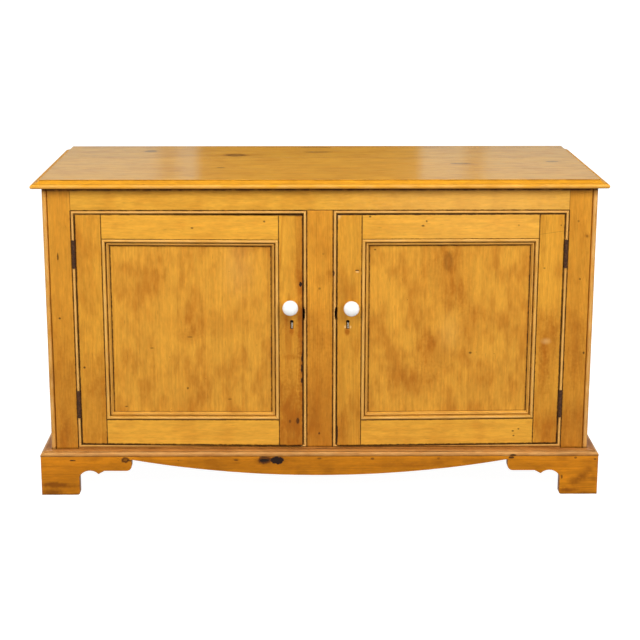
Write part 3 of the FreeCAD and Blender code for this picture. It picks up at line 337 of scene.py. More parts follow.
def finished(mesh: Mesh, name: str, sharp: float) -> Object:
    """Make an object of a mesh, smooth but for its sharp edges.

    Args:
        mesh: The mesh.
        name: The object's name.
        sharp: The angle in degrees from which an edge is sharp.

    Returns:
        The object, linked to the scene.
    """
    mesh.shade_smooth()
    mesh.set_sharp_from_angle(angle=math.radians(sharp))
    return linked(name, mesh)


@dataclass
class Run:
    """How a section is carried along a length of wood, and how its ends are cut.

    A slope is how far an end moves for each metre across from the pivot, so 1 is a mitre.
    """

    lay: Lay
    low: float
    high: float
    low_slope: float = 0.0
    high_slope: float = 0.0
    pivot: float = 0.0
    step: float = 6 * MM
    arris: float = 0.6 * MM
    wander: float = 0.12 * MM
    nibble: float = 0.5 * MM
    seed: int = 1

    def sweep(self, section: Section) -> np.ndarray:
        """Carry the section along: each ring is the outline set at one place along the wood.

        The rings nearest each end step in by the arris. Every point then moves along its
        outward direction by a slow wave, and edges also move in where a faster wave is high.

        Args:
            section: The outline.

        Returns:
            Points as (rings, outline points, 3).
        """
        across, deep = section.points.T
        low = self.low + self.low_slope * (across - self.pivot)
        high = self.high + self.high_slope * (across - self.pivot)
        count = max(3, int(abs(self.high - self.low) / self.step))
        share = np.linspace(0, 1, count)[:, None]
        along = low + (high - low) * share
        inset = np.zeros((count, 1))
        if self.arris:
            turn = np.array([0.0, 0.3, 1.0])
            rise = self.arris * turn
            along = np.concatenate([low + rise[:, None], along[1:-1], high - rise[::-1, None]])
            dip = self.arris * np.array([1.0, 0.3, 0.0])
            inset = np.concatenate([dip, np.zeros(count - 2), dip[::-1]])[:, None]
        out = section.normals()
        grid = np.zeros((len(along), len(across), 3))
        grid[..., self.lay.value[0]] = along
        grid[..., self.lay.value[1]] = across - out[:, 0] * inset
        grid[..., self.lay.value[2]] = deep - out[:, 1] * inset
        move = ripple(grid, 160 * MM, self.seed) * self.wander
        bite = np.clip(ripple(grid, 28 * MM, self.seed + 1) - 0.35, 0, 1) + 0.25
        bite *= np.clip(ripple(grid, 150 * MM, self.seed + 2) + 0.6, 0.2, 1.2)
        move = move - section.edge * bite * self.nibble
        grid[..., self.lay.value[1]] += out[:, 0] * move
        grid[..., self.lay.value[2]] += out[:, 1] * move
        return grid


def squared(across: Pair, deep: Pair, radius: float = 0.8 * MM,
            step: float = 9 * MM) -> Section:
    """A plain board's section.

    Args:
        across: Its two sides.
        deep: Its face and back.
        radius: How far its arrises are rubbed round.
        step: The longest flat piece.

    Returns:
        The section.
    """
    corners = [(across[0], deep[0]), (across[1], deep[0]), (across[1], deep[1]), (across[0], deep[1])]
    return Section.of([(*corner, radius) for corner in corners], step)


def node_board(node: str, lay: Lay, seed: int, arris: float = 0.8 * MM, **run: float) -> Skin:
    """A plain board that fills a CAD node's box.

    Args:
        node: The CAD node.
        lay: How the board lies.
        seed: Which random surface.
        arris: How far its edges are rubbed round.
        **run: Other fields of the run.

    Returns:
        The board's skin.
    """
    low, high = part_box(node)
    along, across, deep = lay.value
    section = squared((low[across], high[across]), (low[deep], high[deep]), arris)
    return Skin.of(Run(lay, low[along], high[along], seed=seed, arris=arris, **run).sweep(section))


# The property of a node that the word after a colon sets
OPTION_OF = {"Math": "operation", "VectorMath": "operation", "MapRange": "interpolation_type",
             "MixRGB": "blend_type"}


def add_node(tree: NodeTree, kind: str, *inputs: object, named: dict[str, object] | None = None,
             **settings: object) -> Node:
    """Add a node with its settings, values and links.

    Args:
        tree: The node tree.
        kind: The node's type without its prefix, and after a colon its operation or its way of mixing.
        *inputs: Values, sockets or nodes for the first inputs in order, or None to skip one.
        named: More inputs by their names.
        **settings: Properties of the node.

    Returns:
        The node.
    """
    kind, _, option = kind.partition(":")
    node = tree.nodes.new(kind if kind.startswith("Node") else f"ShaderNode{kind}")
    if option:
        settings[OPTION_OF[kind]] = option
    for word, value in settings.items():
        setattr(node, word, value)
    by_name = ((node.inputs[word], value) for word, value in (named or {}).items())
    for socket, value in (*zip(node.inputs, inputs), *by_name):
        source = value.outputs[0] if isinstance(value, Node) else value
        if isinstance(source, NodeSocket):
            tree.links.new(source, socket)
        elif source is not None:
            socket.default_value = source
    return node


def cleared(owner: Material | World) -> Callable[..., Node]:
    """Empty the node tree of a material or a world, and give what adds nodes to it."""
    owner.use_nodes = True
    owner.node_tree.nodes.clear()
    return partial(add_node, owner.node_tree)


def node_group(name: str, inputs: dict[str, str], outputs: dict[str, str]) -> tuple:
    """An empty node group with its sockets.

    Args:
        name: The group's name.
        inputs: Input names and their socket types.
        outputs: Output names and their socket types.

    Returns:
        The group, its input node and its output node.
    """
    group = bpy.data.node_groups.new(name, "ShaderNodeTree")
    for way, sockets in (("INPUT", inputs), ("OUTPUT", outputs)):
        for word, kind in sockets.items():
            group.interface.new_socket(word, in_out=way, socket_type=f"NodeSocket{kind}")
    return group, add_node(group, "NodeGroupInput"), add_node(group, "NodeGroupOutput")


@dataclass(frozen=True)
class Blemish:
    """One mark in a board: its kind, place, half sizes in metres and strength."""

    kind: Mark
    centre: Point
    reach: Point
    strength: float = 1.0

    def weights(self) -> list[tuple[str, str, float]]:
        """What the mark adds to its board.

        Returns:
            Rows of a sum's name, the measure of distance that goes into it and its share.
        """
        hard, soft, pale, bulge = (weight * self.strength for weight in self.kind.value)
        rows = [("Hard", "Hard", hard), ("Rim", "Rim", soft if hard else 0), ("Pale", "Soft", pale),
                ("Soft", "Soft", 0 if hard else soft * 0.55), ("Bulge", "Bulge", bulge)]
        return [row for row in rows if row[2]]


def marks_at(axis: int, level: float, *rows: tuple) -> tuple[Blemish, ...]:
    """The marks in one flat face of a board.

    Args:
        axis: The axis that the face is square to.
        level: Where the face lies on it.
        *rows: Kind, place in the face and half sizes in millimetres, and strength where it isn't 1.

    Returns:
        The marks.
    """
    marks = []
    for kind, *sizes in rows:
        place, reach = ([size * MM for size in part] for part in (sizes[:2], sizes[2:5]))
        marks.append(Blemish(kind, (*place[:axis], level, *place[axis:]), tuple(reach), *sizes[5:]))
    return tuple(marks)


@dataclass(frozen=True)
class DirtAndShadeLine:
    """Wax and dirt gathered along a straight edge, or painted shade along an edge where a shadow falls.

    The line lies across one axis at a place, which moves by the slope for each metre along X.
    The darkening thins out over its width in the direction of the sign, or both ways where that is 0,
    and stops at a limit, up or along another axis.
    """

    axis: int
    place: float
    sign: int
    width: float = 2.2 * MM
    strength: float = 1.0
    slope: float = 0.0
    ragged: float = 0.8
    until: float | None = None
    until_axis: int = 2


@dataclass(frozen=True)
class Pine:
    """Old pine, stained by age and waxed: pale spring wood, darker summer lines and a brown patina."""

    spring: str = "#DA962F"
    summer: str = "#BA761E"
    patina: str = "#AA6414"
    ring: float = 3.6 * MM
    contrast: float = 0.55
    mottle: float = 0.55
    roughness: float = 0.38
    coat: float = 0.06
    coat_roughness: float = 0.24
    specular: float = 0.11
    specks: float = 1.0


def mark_group() -> NodeTree:
    """A group that measures how far a point lies from one mark in the wood."""
    group, given, result = node_group(
        "wood_mark",
        {"Point": "Vector", "Centre": "Vector", "Scale": "Vector", "Jitter": "Float"},
        dict.fromkeys(("Hard", "Rim", "Soft", "Bulge"), "Float"),
    )
    add = partial(add_node, group)
    away = add("VectorMath:SUBTRACT", given.outputs["Point"], given.outputs["Centre"])
    length = add("VectorMath:LENGTH", add("VectorMath:MULTIPLY", away, given.outputs["Scale"])).outputs[1]
    rough = add("Math:ADD", given.outputs["Jitter"], length)
    rim_in = add("MapRange:SMOOTHSTEP", rough, 0.45, 0.95, 0.0, 1.0)
    rim_out = add("MapRange:SMOOTHSTEP", rough, 1.0, 1.7, 1.0, 0.0)
    found = {
        "Hard": add("MapRange:SMOOTHSTEP", rough, 0.78, 1.02, 1.0, 0.0),
        "Rim": add("Math:MULTIPLY", rim_in, rim_out),
        "Soft": add("MapRange:SMOOTHSTEP", rough, 0.1, 1.6, 1.0, 0.0),
        "Bulge": add("MapRange:SMOOTHERSTEP", length, 0.0, 4.0, 1.0, 0.0),
    }
    for word, value in found.items():
        group.links.new(value.outputs[0], result.inputs[word])
    return group


def pine_group() -> NodeTree:
    """A group that draws pine from its growth rings, fibres, patina, marks, wax and wear, with painted shade
    and painted highlights.

    The rings are the distance from the pith, bent by slow noise and by knots, divided by the
    ring width. Each ring darkens towards its summer wood and then breaks off.

    Returns:
        The group.
    """
    floats = ("Bulge", "Hard", "Rim", "Soft", "Pale", "Dirt", "Ring", "Contrast", "Mottle", "Specks")
    group, given, result = node_group(
        "old_waxed_pine",
        {"Place": "Vector", "Object": "Vector", **dict.fromkeys(floats, "Float"),
         **dict.fromkeys(("Spring", "Summer", "Patina"), "Color")},
        {"Color": "Color", "Gloss": "Float", "Height": "Float"},
    )
    sockets = given.outputs
    add = partial(add_node, group)

    def stretched(size: Point, detail: float, source: str = "Place") -> Node:
        """Noise whose cells have a size in metres across, deep and along the grain."""
        scale = add("VectorMath:MULTIPLY", sockets[source], tuple(1 / part for part in size))
        return add("TexNoise", scale, named={"Scale": 1.0, "Detail": detail})

    # Growth rings, each year with its own vigour, and broad bands where many lie close together
    flat = add("VectorMath:MULTIPLY", sockets["Place"], (1.0, 1.0, 0.0))
    distance = add("VectorMath:LENGTH", flat).outputs[1]
    slow = add("Math:MULTIPLY_ADD", stretched((0.11, 0.11, 0.9), 1.0), 0.030, distance)
    quick = add("Math:MULTIPLY_ADD", stretched((0.02, 0.02, 0.25), 2.0), 0.0028, slow)
    phase = add("Math:DIVIDE", add("Math:MULTIPLY_ADD", sockets["Bulge"], 0.011, quick), sockets["Ring"])
    part = add("Math:FRACT", phase)
    year = add("TexWhiteNoise", None, add("Math:FLOOR", phase), noise_dimensions="1D")
    rise = add("MapRange:SMOOTHSTEP", part, 0.25, 0.92, 0.0, 1.0)
    fall = add("MapRange:SMOOTHSTEP", part, 0.93, 1.0, 1.0, 0.0)
    late = add("Math:MULTIPLY", add("Math:MULTIPLY", rise, fall), add("Math:MULTIPLY_ADD", year, 0.75, 0.25))
    broad = add("MapRange", stretched((0.018, 0.018, 0.5), 2.0), 0.35, 0.68, 0.0, 0.55)
    line = add("Math:MULTIPLY", add("Math:MAXIMUM", late, broad), sockets["Contrast"], use_clamp=True)
    wood = add("MixRGB", line, sockets["Spring"], sockets["Summer"])

    # Clouds of patina, then fibres and resin ducts, drawn coarser than real so that they show
    cloud = stretched((0.075, 0.075, 0.13), 3.0, "Object")
    haze = stretched((0.016, 0.016, 0.04), 4.0)
    shade = add("Math:ADD", add("Math:MULTIPLY", cloud, 0.62), add("Math:MULTIPLY", haze, 0.38))
    patina = add("MapRange:SMOOTHSTEP", shade, 0.42, 0.66, 0.0, 1.0)
    patina = add("Math:MULTIPLY_ADD", patina, sockets["Mottle"], sockets["Soft"], use_clamp=True)
    aged = add("MixRGB", patina, wood, sockets["Patina"])
    fibre = stretched((0.0011, 0.0011, 0.045), 3.0)
    streak = add("MapRange", fibre, 0.25, 0.75, 0.93, 1.06)
    band = add("MapRange", stretched((0.012, 0.012, 0.11), 3.0), 0.3, 0.7, 0.91, 1.07)
    fleck = add("MapRange", stretched((0.005, 0.005, 0.02), 3.0), 0.3, 0.7, 0.92, 1.06)
    ducts = add("MapRange", stretched((0.0016, 0.0016, 0.03), 1.0), 0.70, 0.76, 1.0, 0.72)
    figure = add("Math:MULTIPLY", add("Math:MULTIPLY", streak, ducts), add("Math:MULTIPLY", band, fleck))
    lined = add("MixRGB:MULTIPLY", 1.0, aged, figure)

    # Bare pale wood where it is rubbed, with painted highlights along the crowns of noses and beads, and
    # knots with a dark rim
    rubbed = add("Attribute", attribute_name="wear").outputs["Fac"]
    patchy = add("MapRange", stretched((0.012, 0.012, 0.05), 2.0), 0.3, 0.62, 0.25, 1.0)
    bare = add("Math:MAXIMUM", add("Math:MULTIPLY", rubbed, patchy), sockets["Pale"], use_clamp=True)
    lifted = add("MixRGB", add("Math:MULTIPLY", bare, 0.62), lined, linear("#F2C279"))
    ringed = add("Math:MULTIPLY", sockets["Rim"], 0.85, use_clamp=True)
    rim = add("MixRGB", ringed, lifted, linear("#421C06"))
    core = add("Math:MULTIPLY", sockets["Hard"], 0.96, use_clamp=True)
    heart = add("MixRGB", core, rim, linear("#200E04"))

    # Worm holes and nicks: a dot in some of the cells, each with its own radius
    cells = add("TexVoronoi", sockets["Object"], named={"Scale": 42.0, "Randomness": 1.0})
    drawn = add("SeparateColor", cells.outputs["Color"])
    chosen = add("Math:GREATER_THAN", drawn, 0.74)
    radius = add("Math:MULTIPLY_ADD", drawn.outputs[1], 0.055, 0.022)
    dot = add("MapRange", add("Math:DIVIDE", cells.outputs["Distance"], radius), 0.6, 1.0, 1.0, 0.0)
    speck = add("Math:MULTIPLY", add("Math:MULTIPLY", dot, chosen), sockets["Specks"], use_clamp=True)
    pocked = add("MixRGB", add("Math:MULTIPLY", speck, 0.72), heart, linear("#4A2308"))

    # Wax and dirt held in corners, and painted shade along some edges, all duller than the wood
    held = add("Attribute", attribute_name="wax").outputs["Fac"]
    broken = add("MapRange", stretched((0.02, 0.02, 0.02), 3.0, "Object"), 0.30, 0.62, 0.55, 1.0)
    wax = add("Math:MULTIPLY", add("Math:MAXIMUM", held, sockets["Dirt"]), broken, use_clamp=True)
    waxed = add("MixRGB", add("Math:MULTIPLY", wax, 0.95), pocked, linear("#301602"))
    uneven = add("Math:MULTIPLY", add("Math:SUBTRACT", haze, 0.5), 0.16)
    gloss = add("Math:ADD", add("Math:MULTIPLY", wax, 0.22), uneven)

    # Relief in metres: raised summer lines and fibres, sunk holes and a slow unevenness
    height = add("Math:ADD", add("Math:MULTIPLY", line, 0.00005), add("Math:MULTIPLY", fibre, 0.00006))
    sunk = add("Math:ADD", speck, add("Math:MULTIPLY", sockets["Hard"], 0.3))
    height = add("Math:SUBTRACT", height, add("Math:MULTIPLY", sunk, 0.0005))
    height = add("Math:ADD", height, add("Math:MULTIPLY", cloud, 0.0006))
    for word, value in (("Color", waxed), ("Gloss", gloss), ("Height", height)):
        group.links.new(value.outputs[0], result.inputs[word])
    return group


@dataclass
class Bench:
    """Where finishes are mixed: the two groups that all the pine shares."""

    pine: NodeTree = field(default_factory=pine_group)
    mark: NodeTree = field(default_factory=mark_group)

    def board(self, name: str, finish: Pine, grain: Grain, seed: int, blemishes: tuple[Blemish, ...] = (),
              dirt: tuple[DirtAndShadeLine, ...] = (), tone: float = 1.0, flat_sawn: float = 0.4) -> Material:
        """One board's own material: the shared pine with this board's heart, marks and dirt.

        Args:
            name: The material's name.
            finish: The colours and figures of the pine.
            grain: Which way the grain runs.
            seed: Sets where in the log the board was cut.
            blemishes: Its marks.
            dirt: Its dirty edges and its lines of painted shade.
            tone: How light the board is.
            flat_sawn: From 0, cut far to one side of the pith, to 1, cut right across it.

        Returns:
            The material.
        """
        rng = np.random.default_rng(seed)
        material = bpy.data.materials.new(name)
        add = cleared(material)
        point = add("TexCoord").outputs["Object"]
        turned = add("Mapping", point, None, grain.value)
        aside = (1 - flat_sawn) * 0.16 * rng.choice([-1, 1]) + rng.uniform(-0.03, 0.03)
        shift = (aside, 0.36 + rng.uniform(0.0, 0.07), rng.uniform(-6, 6))
        tilt = (rng.uniform(0.010, 0.026) * rng.choice([-1, 1]), rng.uniform(-0.006, 0.006), 0.0)
        place = add("Mapping", turned, shift, tilt)
        noise = add("TexNoise", point, named={"Scale": 130.0, "Detail": 2.0})
        jitter = add("Math:MULTIPLY", add("Math:SUBTRACT", noise, 0.5), 0.9)
        sums: dict[str, Node | None] = dict.fromkeys(("Hard", "Rim", "Soft", "Pale", "Bulge"))
        for blemish in blemishes:
            scale = tuple(1 / size for size in blemish.reach)
            given = {"Point": point, "Jitter": jitter, "Centre": blemish.centre, "Scale": scale}
            found = add("Group", named=given, node_tree=self.mark)
            for word, output, weight in blemish.weights():
                sums[word] = add("Math:MULTIPLY_ADD", found.outputs[output], weight, sums[word] or 0.0)
        split = add("SeparateXYZ", point)
        worst = None
        # Each line darkens the wood near an edge: dirt, or painted shade where a shadow falls
        for edge in dirt:
            away = add("Math:SUBTRACT", split.outputs[edge.axis], edge.place)
            if edge.slope:
                away = add("Math:MULTIPLY_ADD", split.outputs[0], -edge.slope, away)
            if not edge.sign:
                away = add("Math:ABSOLUTE", away)
            away = add("Math:MULTIPLY", away, (edge.sign or 1) / edge.width)
            away = add("Math:MULTIPLY_ADD", jitter, edge.ragged, away)
            fade = add("MapRange:SMOOTHSTEP", away, 0.1, 1.0, edge.strength, 0.0)
            if edge.until is not None:
                below = add("Math:LESS_THAN", split.outputs[edge.until_axis], edge.until)
                fade = add("Math:MULTIPLY", fade, below)
            worst = fade if worst is None else add("Math:MAXIMUM", worst, fade)
        tints = {"Spring": finish.spring, "Summer": finish.summer, "Patina": finish.patina}
        toned = {word: (*(part * tone for part in linear(code)[:3]), 1.0) for word, code in tints.items()}
        values = {"Place": place, "Object": point, "Dirt": worst, "Ring": finish.ring,
                  "Contrast": finish.contrast, "Mottle": finish.mottle, "Specks": finish.specks,
                  **sums, **toned}
        wood = add("Group", named=values, node_tree=self.pine)
        rough = add("Math:ADD", wood.outputs["Gloss"], finish.roughness, use_clamp=True)
        bump = add("Bump", named={"Height": wood.outputs["Height"], "Distance": 1.0, "Strength": 1.0})
        shader = add("BsdfPrincipled", named={
            "Base Color": wood.outputs["Color"], "Roughness": rough, "Normal": bump, "IOR": 1.5,
            "Specular IOR Level": finish.specular, "Coat Weight": finish.coat,
            "Coat Roughness": finish.coat_roughness,
        })
        add("OutputMaterial", shader)
        return material

    def make(self, node: str, piece: Skin | Object, finish: Pine, grain: Grain, seed: int,
             **board: object) -> Object:
        """Finish a piece as a board of its own in place of a CAD node.

        Args:
            node: The CAD node.
            piece: Its skin, or the object made of it.
            finish: The colours and figures of the pine.
            grain: Which way the grain runs.
            seed: Sets where in the log the board was cut.
            **board: What else the board's material takes.

        Returns:
            The piece.
        """
        if isinstance(piece, Skin):
            piece = piece.build(f"aged_{node}")
        return dress(piece, self.board(f"waxed_pine_{node}", finish, grain, seed, **board), node)


@dataclass(frozen=True)
class Mineral:
    """A finish without grain: glazed porcelain, rusty cast iron or tarnished steel."""

    name: str
    base: str
    second: str
    metallic: float
    roughness: float
    roughness_spread: float
    patch: float
    pit: float = 0.0
    coat: float = 0.0
    ior: float = 1.5
    specular: float = 0.5

    def material(self) -> Material:
        """Two colours mixed by noise of the patch size, with pits of the pit depth.

        Returns:
            The material.
        """
        material = bpy.data.materials.new(self.name)
        add = cleared(material)
        point = add("TexCoord").outputs["Object"]
        cloud = add("TexNoise", point, named={"Scale": 1 / self.patch, "Detail": 5.0})
        share = add("MapRange:SMOOTHSTEP", cloud, 0.38, 0.62, 0.0, 1.0)
        colour = add("MixRGB", share, linear(self.base), linear(self.second))
        smooth, dull = self.roughness - self.roughness_spread, self.roughness + self.roughness_spread
        bump = None
        if self.pit:
            fine = add("TexNoise", point, named={"Scale": 3 / self.patch, "Detail": 6.0, "Roughness": 0.7})
            bump = add("Bump", named={"Height": fine, "Distance": self.pit, "Strength": 1.0})
        shader = add("BsdfPrincipled", named={
            "Base Color": colour, "Roughness": add("MapRange", cloud, 0.3, 0.7, smooth, dull), "Normal": bump,
            "Metallic": self.metallic, "IOR": self.ior, "Specular IOR Level": self.specular,
            "Coat Weight": self.coat, "Coat Roughness": 0.03,
        })
        add("OutputMaterial", shader)
        return material


# Fired glaze on white clay: a clean white with one small sharp light in it
PORCELAIN = Mineral("glazed_porcelain", "#FAFAF8", "#F6F6F3", 0.0, 0.09, 0.02, 30 * MM, coat=0.5)
# Cast iron rusted through its skin: dull dark brown with rough patches and pits
RUSTY_IRON = Mineral("rusted_cast_iron", "#2E1A0C", "#54341C", 0.0, 0.66, 0.14, 5 * MM, pit=0.25 * MM,
                     specular=0.2)
# Pressed iron under old oil with a faint shine, darkened to nearly black, which paints the shade inside the
# keyhole
LOCK_METAL = Mineral("tarnished_lock_iron", "#2E2822", "#1C1713", 0.5, 0.5, 0.12, 9 * MM, pit=0.05 * MM,
                     specular=0.2)
# Steel rubbed by a key: a small bright spot deep in the keyhole
WARD_METAL = Mineral("worn_ward_steel", "#B4AA9A", "#8A7C6A", 0.4, 0.36, 0.1, 3 * MM, pit=0.04 * MM)
# Turned steel gone dull: grey heads with a soft shine
FASTENER_METAL = Mineral("dull_screw_steel", "#6A6158", "#4A4038", 0.9, 0.46, 0.1, 4 * MM, pit=0.06 * MM)


def dress(piece: Object, material: Material, *nodes: str) -> Object:
    """Give a piece its material, and let it stand for CAD nodes and move with their body.

    Args:
        piece: The new piece.
        material: Its material.
        *nodes: The CAD nodes that it replaces.

    Returns:
        The piece.
    """
    piece.data.materials.clear()
    piece.data.materials.append(material)
    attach(piece, BODY_OF[nodes[0]])
    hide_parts(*nodes)
    log.info("%s: %d faces, for %s", piece.name, len(piece.data.polygons), ", ".join(nodes))
    return piece


def softened(node: str, width: float, material: Material, sharp: float = 40.0) -> Object:
    """A merged copy of a CAD node with its arrises rubbed round.

    Args:
        node: The CAD node.
        width: How wide the rounding is.
        material: Its material.
        sharp: The angle in degrees from which an edge is rounded.

    Returns:
        The piece, which replaces the node.
    """
    mesh = frame["nodes"][node].data.copy()
    work = bmesh.new()
    work.from_mesh(mesh)
    bmesh.ops.remove_doubles(work, verts=work.verts, dist=1e-5)
    bmesh.ops.dissolve_limit(work, angle_limit=math.radians(0.6), verts=work.verts, edges=work.edges)
    bmesh.ops.recalc_face_normals(work, faces=work.faces)
    work.to_mesh(mesh)
    work.free()
    piece = finished(mesh, f"aged_{node}", sharp)
    bevel = piece.modifiers.new("rubbed", "BEVEL")
    bevel.width, bevel.segments = width, 2
    bevel.limit_method, bevel.angle_limit = "ANGLE", math.radians(sharp)
    bevel.harden_normals = True
    settled(piece)
    return dress(piece, material, node)


def settled(piece: Object) -> None:
    """Work a piece's modifiers into its mesh."""
    bpy.context.view_layer.update()
    graph = bpy.context.evaluated_depsgraph_get()
    shaped = piece.evaluated_get(graph)
    mesh = bpy.data.meshes.new_from_object(shaped, preserve_all_data_layers=True, depsgraph=graph)
    piece.modifiers.clear()
    piece.data = mesh


def carved(piece: Object, *cutters: Object) -> None:
    """Cut other shapes out of a piece and remove them.

    Args:
        piece: The piece.
        *cutters: Closed shapes.
    """
    for cutter in cutters:
        taking = piece.modifiers.new("cut", "BOOLEAN")
        taking.operation, taking.solver, taking.object = "DIFFERENCE", "EXACT", cutter
    settled(piece)
    for cutter in cutters:
        bpy.data.objects.remove(cutter)
    piece.data.set_sharp_from_angle(angle=math.radians(34))


def plain_block(low: Point, high: Point) -> Object:
    """A squared cutter between two corners."""
    outline = [(low[0], low[1], 0), (high[0], low[1], 0), (high[0], high[1], 0), (low[0], high[1], 0)]
    run = Run(Lay.UPRIGHT, low[2], high[2], step=1.0, arris=0, wander=0, nibble=0)
    return Skin.of(run.sweep(Section.of(outline, 1.0))).build("cutter")


def socket_cutters(near: Point, far: Point) -> list[Object]:
    """Cutters for the sockets of both lock bolts.

    Args:
        near: The right-hand socket's low front corner: across, back from the face and up.
        far: Its high back corner.

    Returns:
        The two blocks.
    """
    blocks = []
    for side in SIDES.values():
        spans = sorted((side * near[0], side * far[0]))
        blocks.append(plain_block((spans[0], FACE + near[1], near[2]), (spans[1], FACE + far[1], far[2])))
    return blocks


def turned_skin(profile: np.ndarray, centre: Point, count: int = 64) -> Skin:
    """A shape turned round a line that runs back: each profile point becomes a ring.

    Args:
        profile: Points as (place back, radius).
        centre: Where the line starts.
        count: Points round each ring.

    Returns:
        The skin.
    """
    turn = np.linspace(0, 2 * math.pi, count, endpoint=False)
    grid = np.zeros((len(profile), count, 3))
    grid[..., 0] = centre[0] + profile[:, 1:] * np.cos(turn)
    grid[..., 1] = centre[1] + profile[:, :1]
    grid[..., 2] = centre[2] + profile[:, 1:] * np.sin(turn)
    return Skin.of(grid)


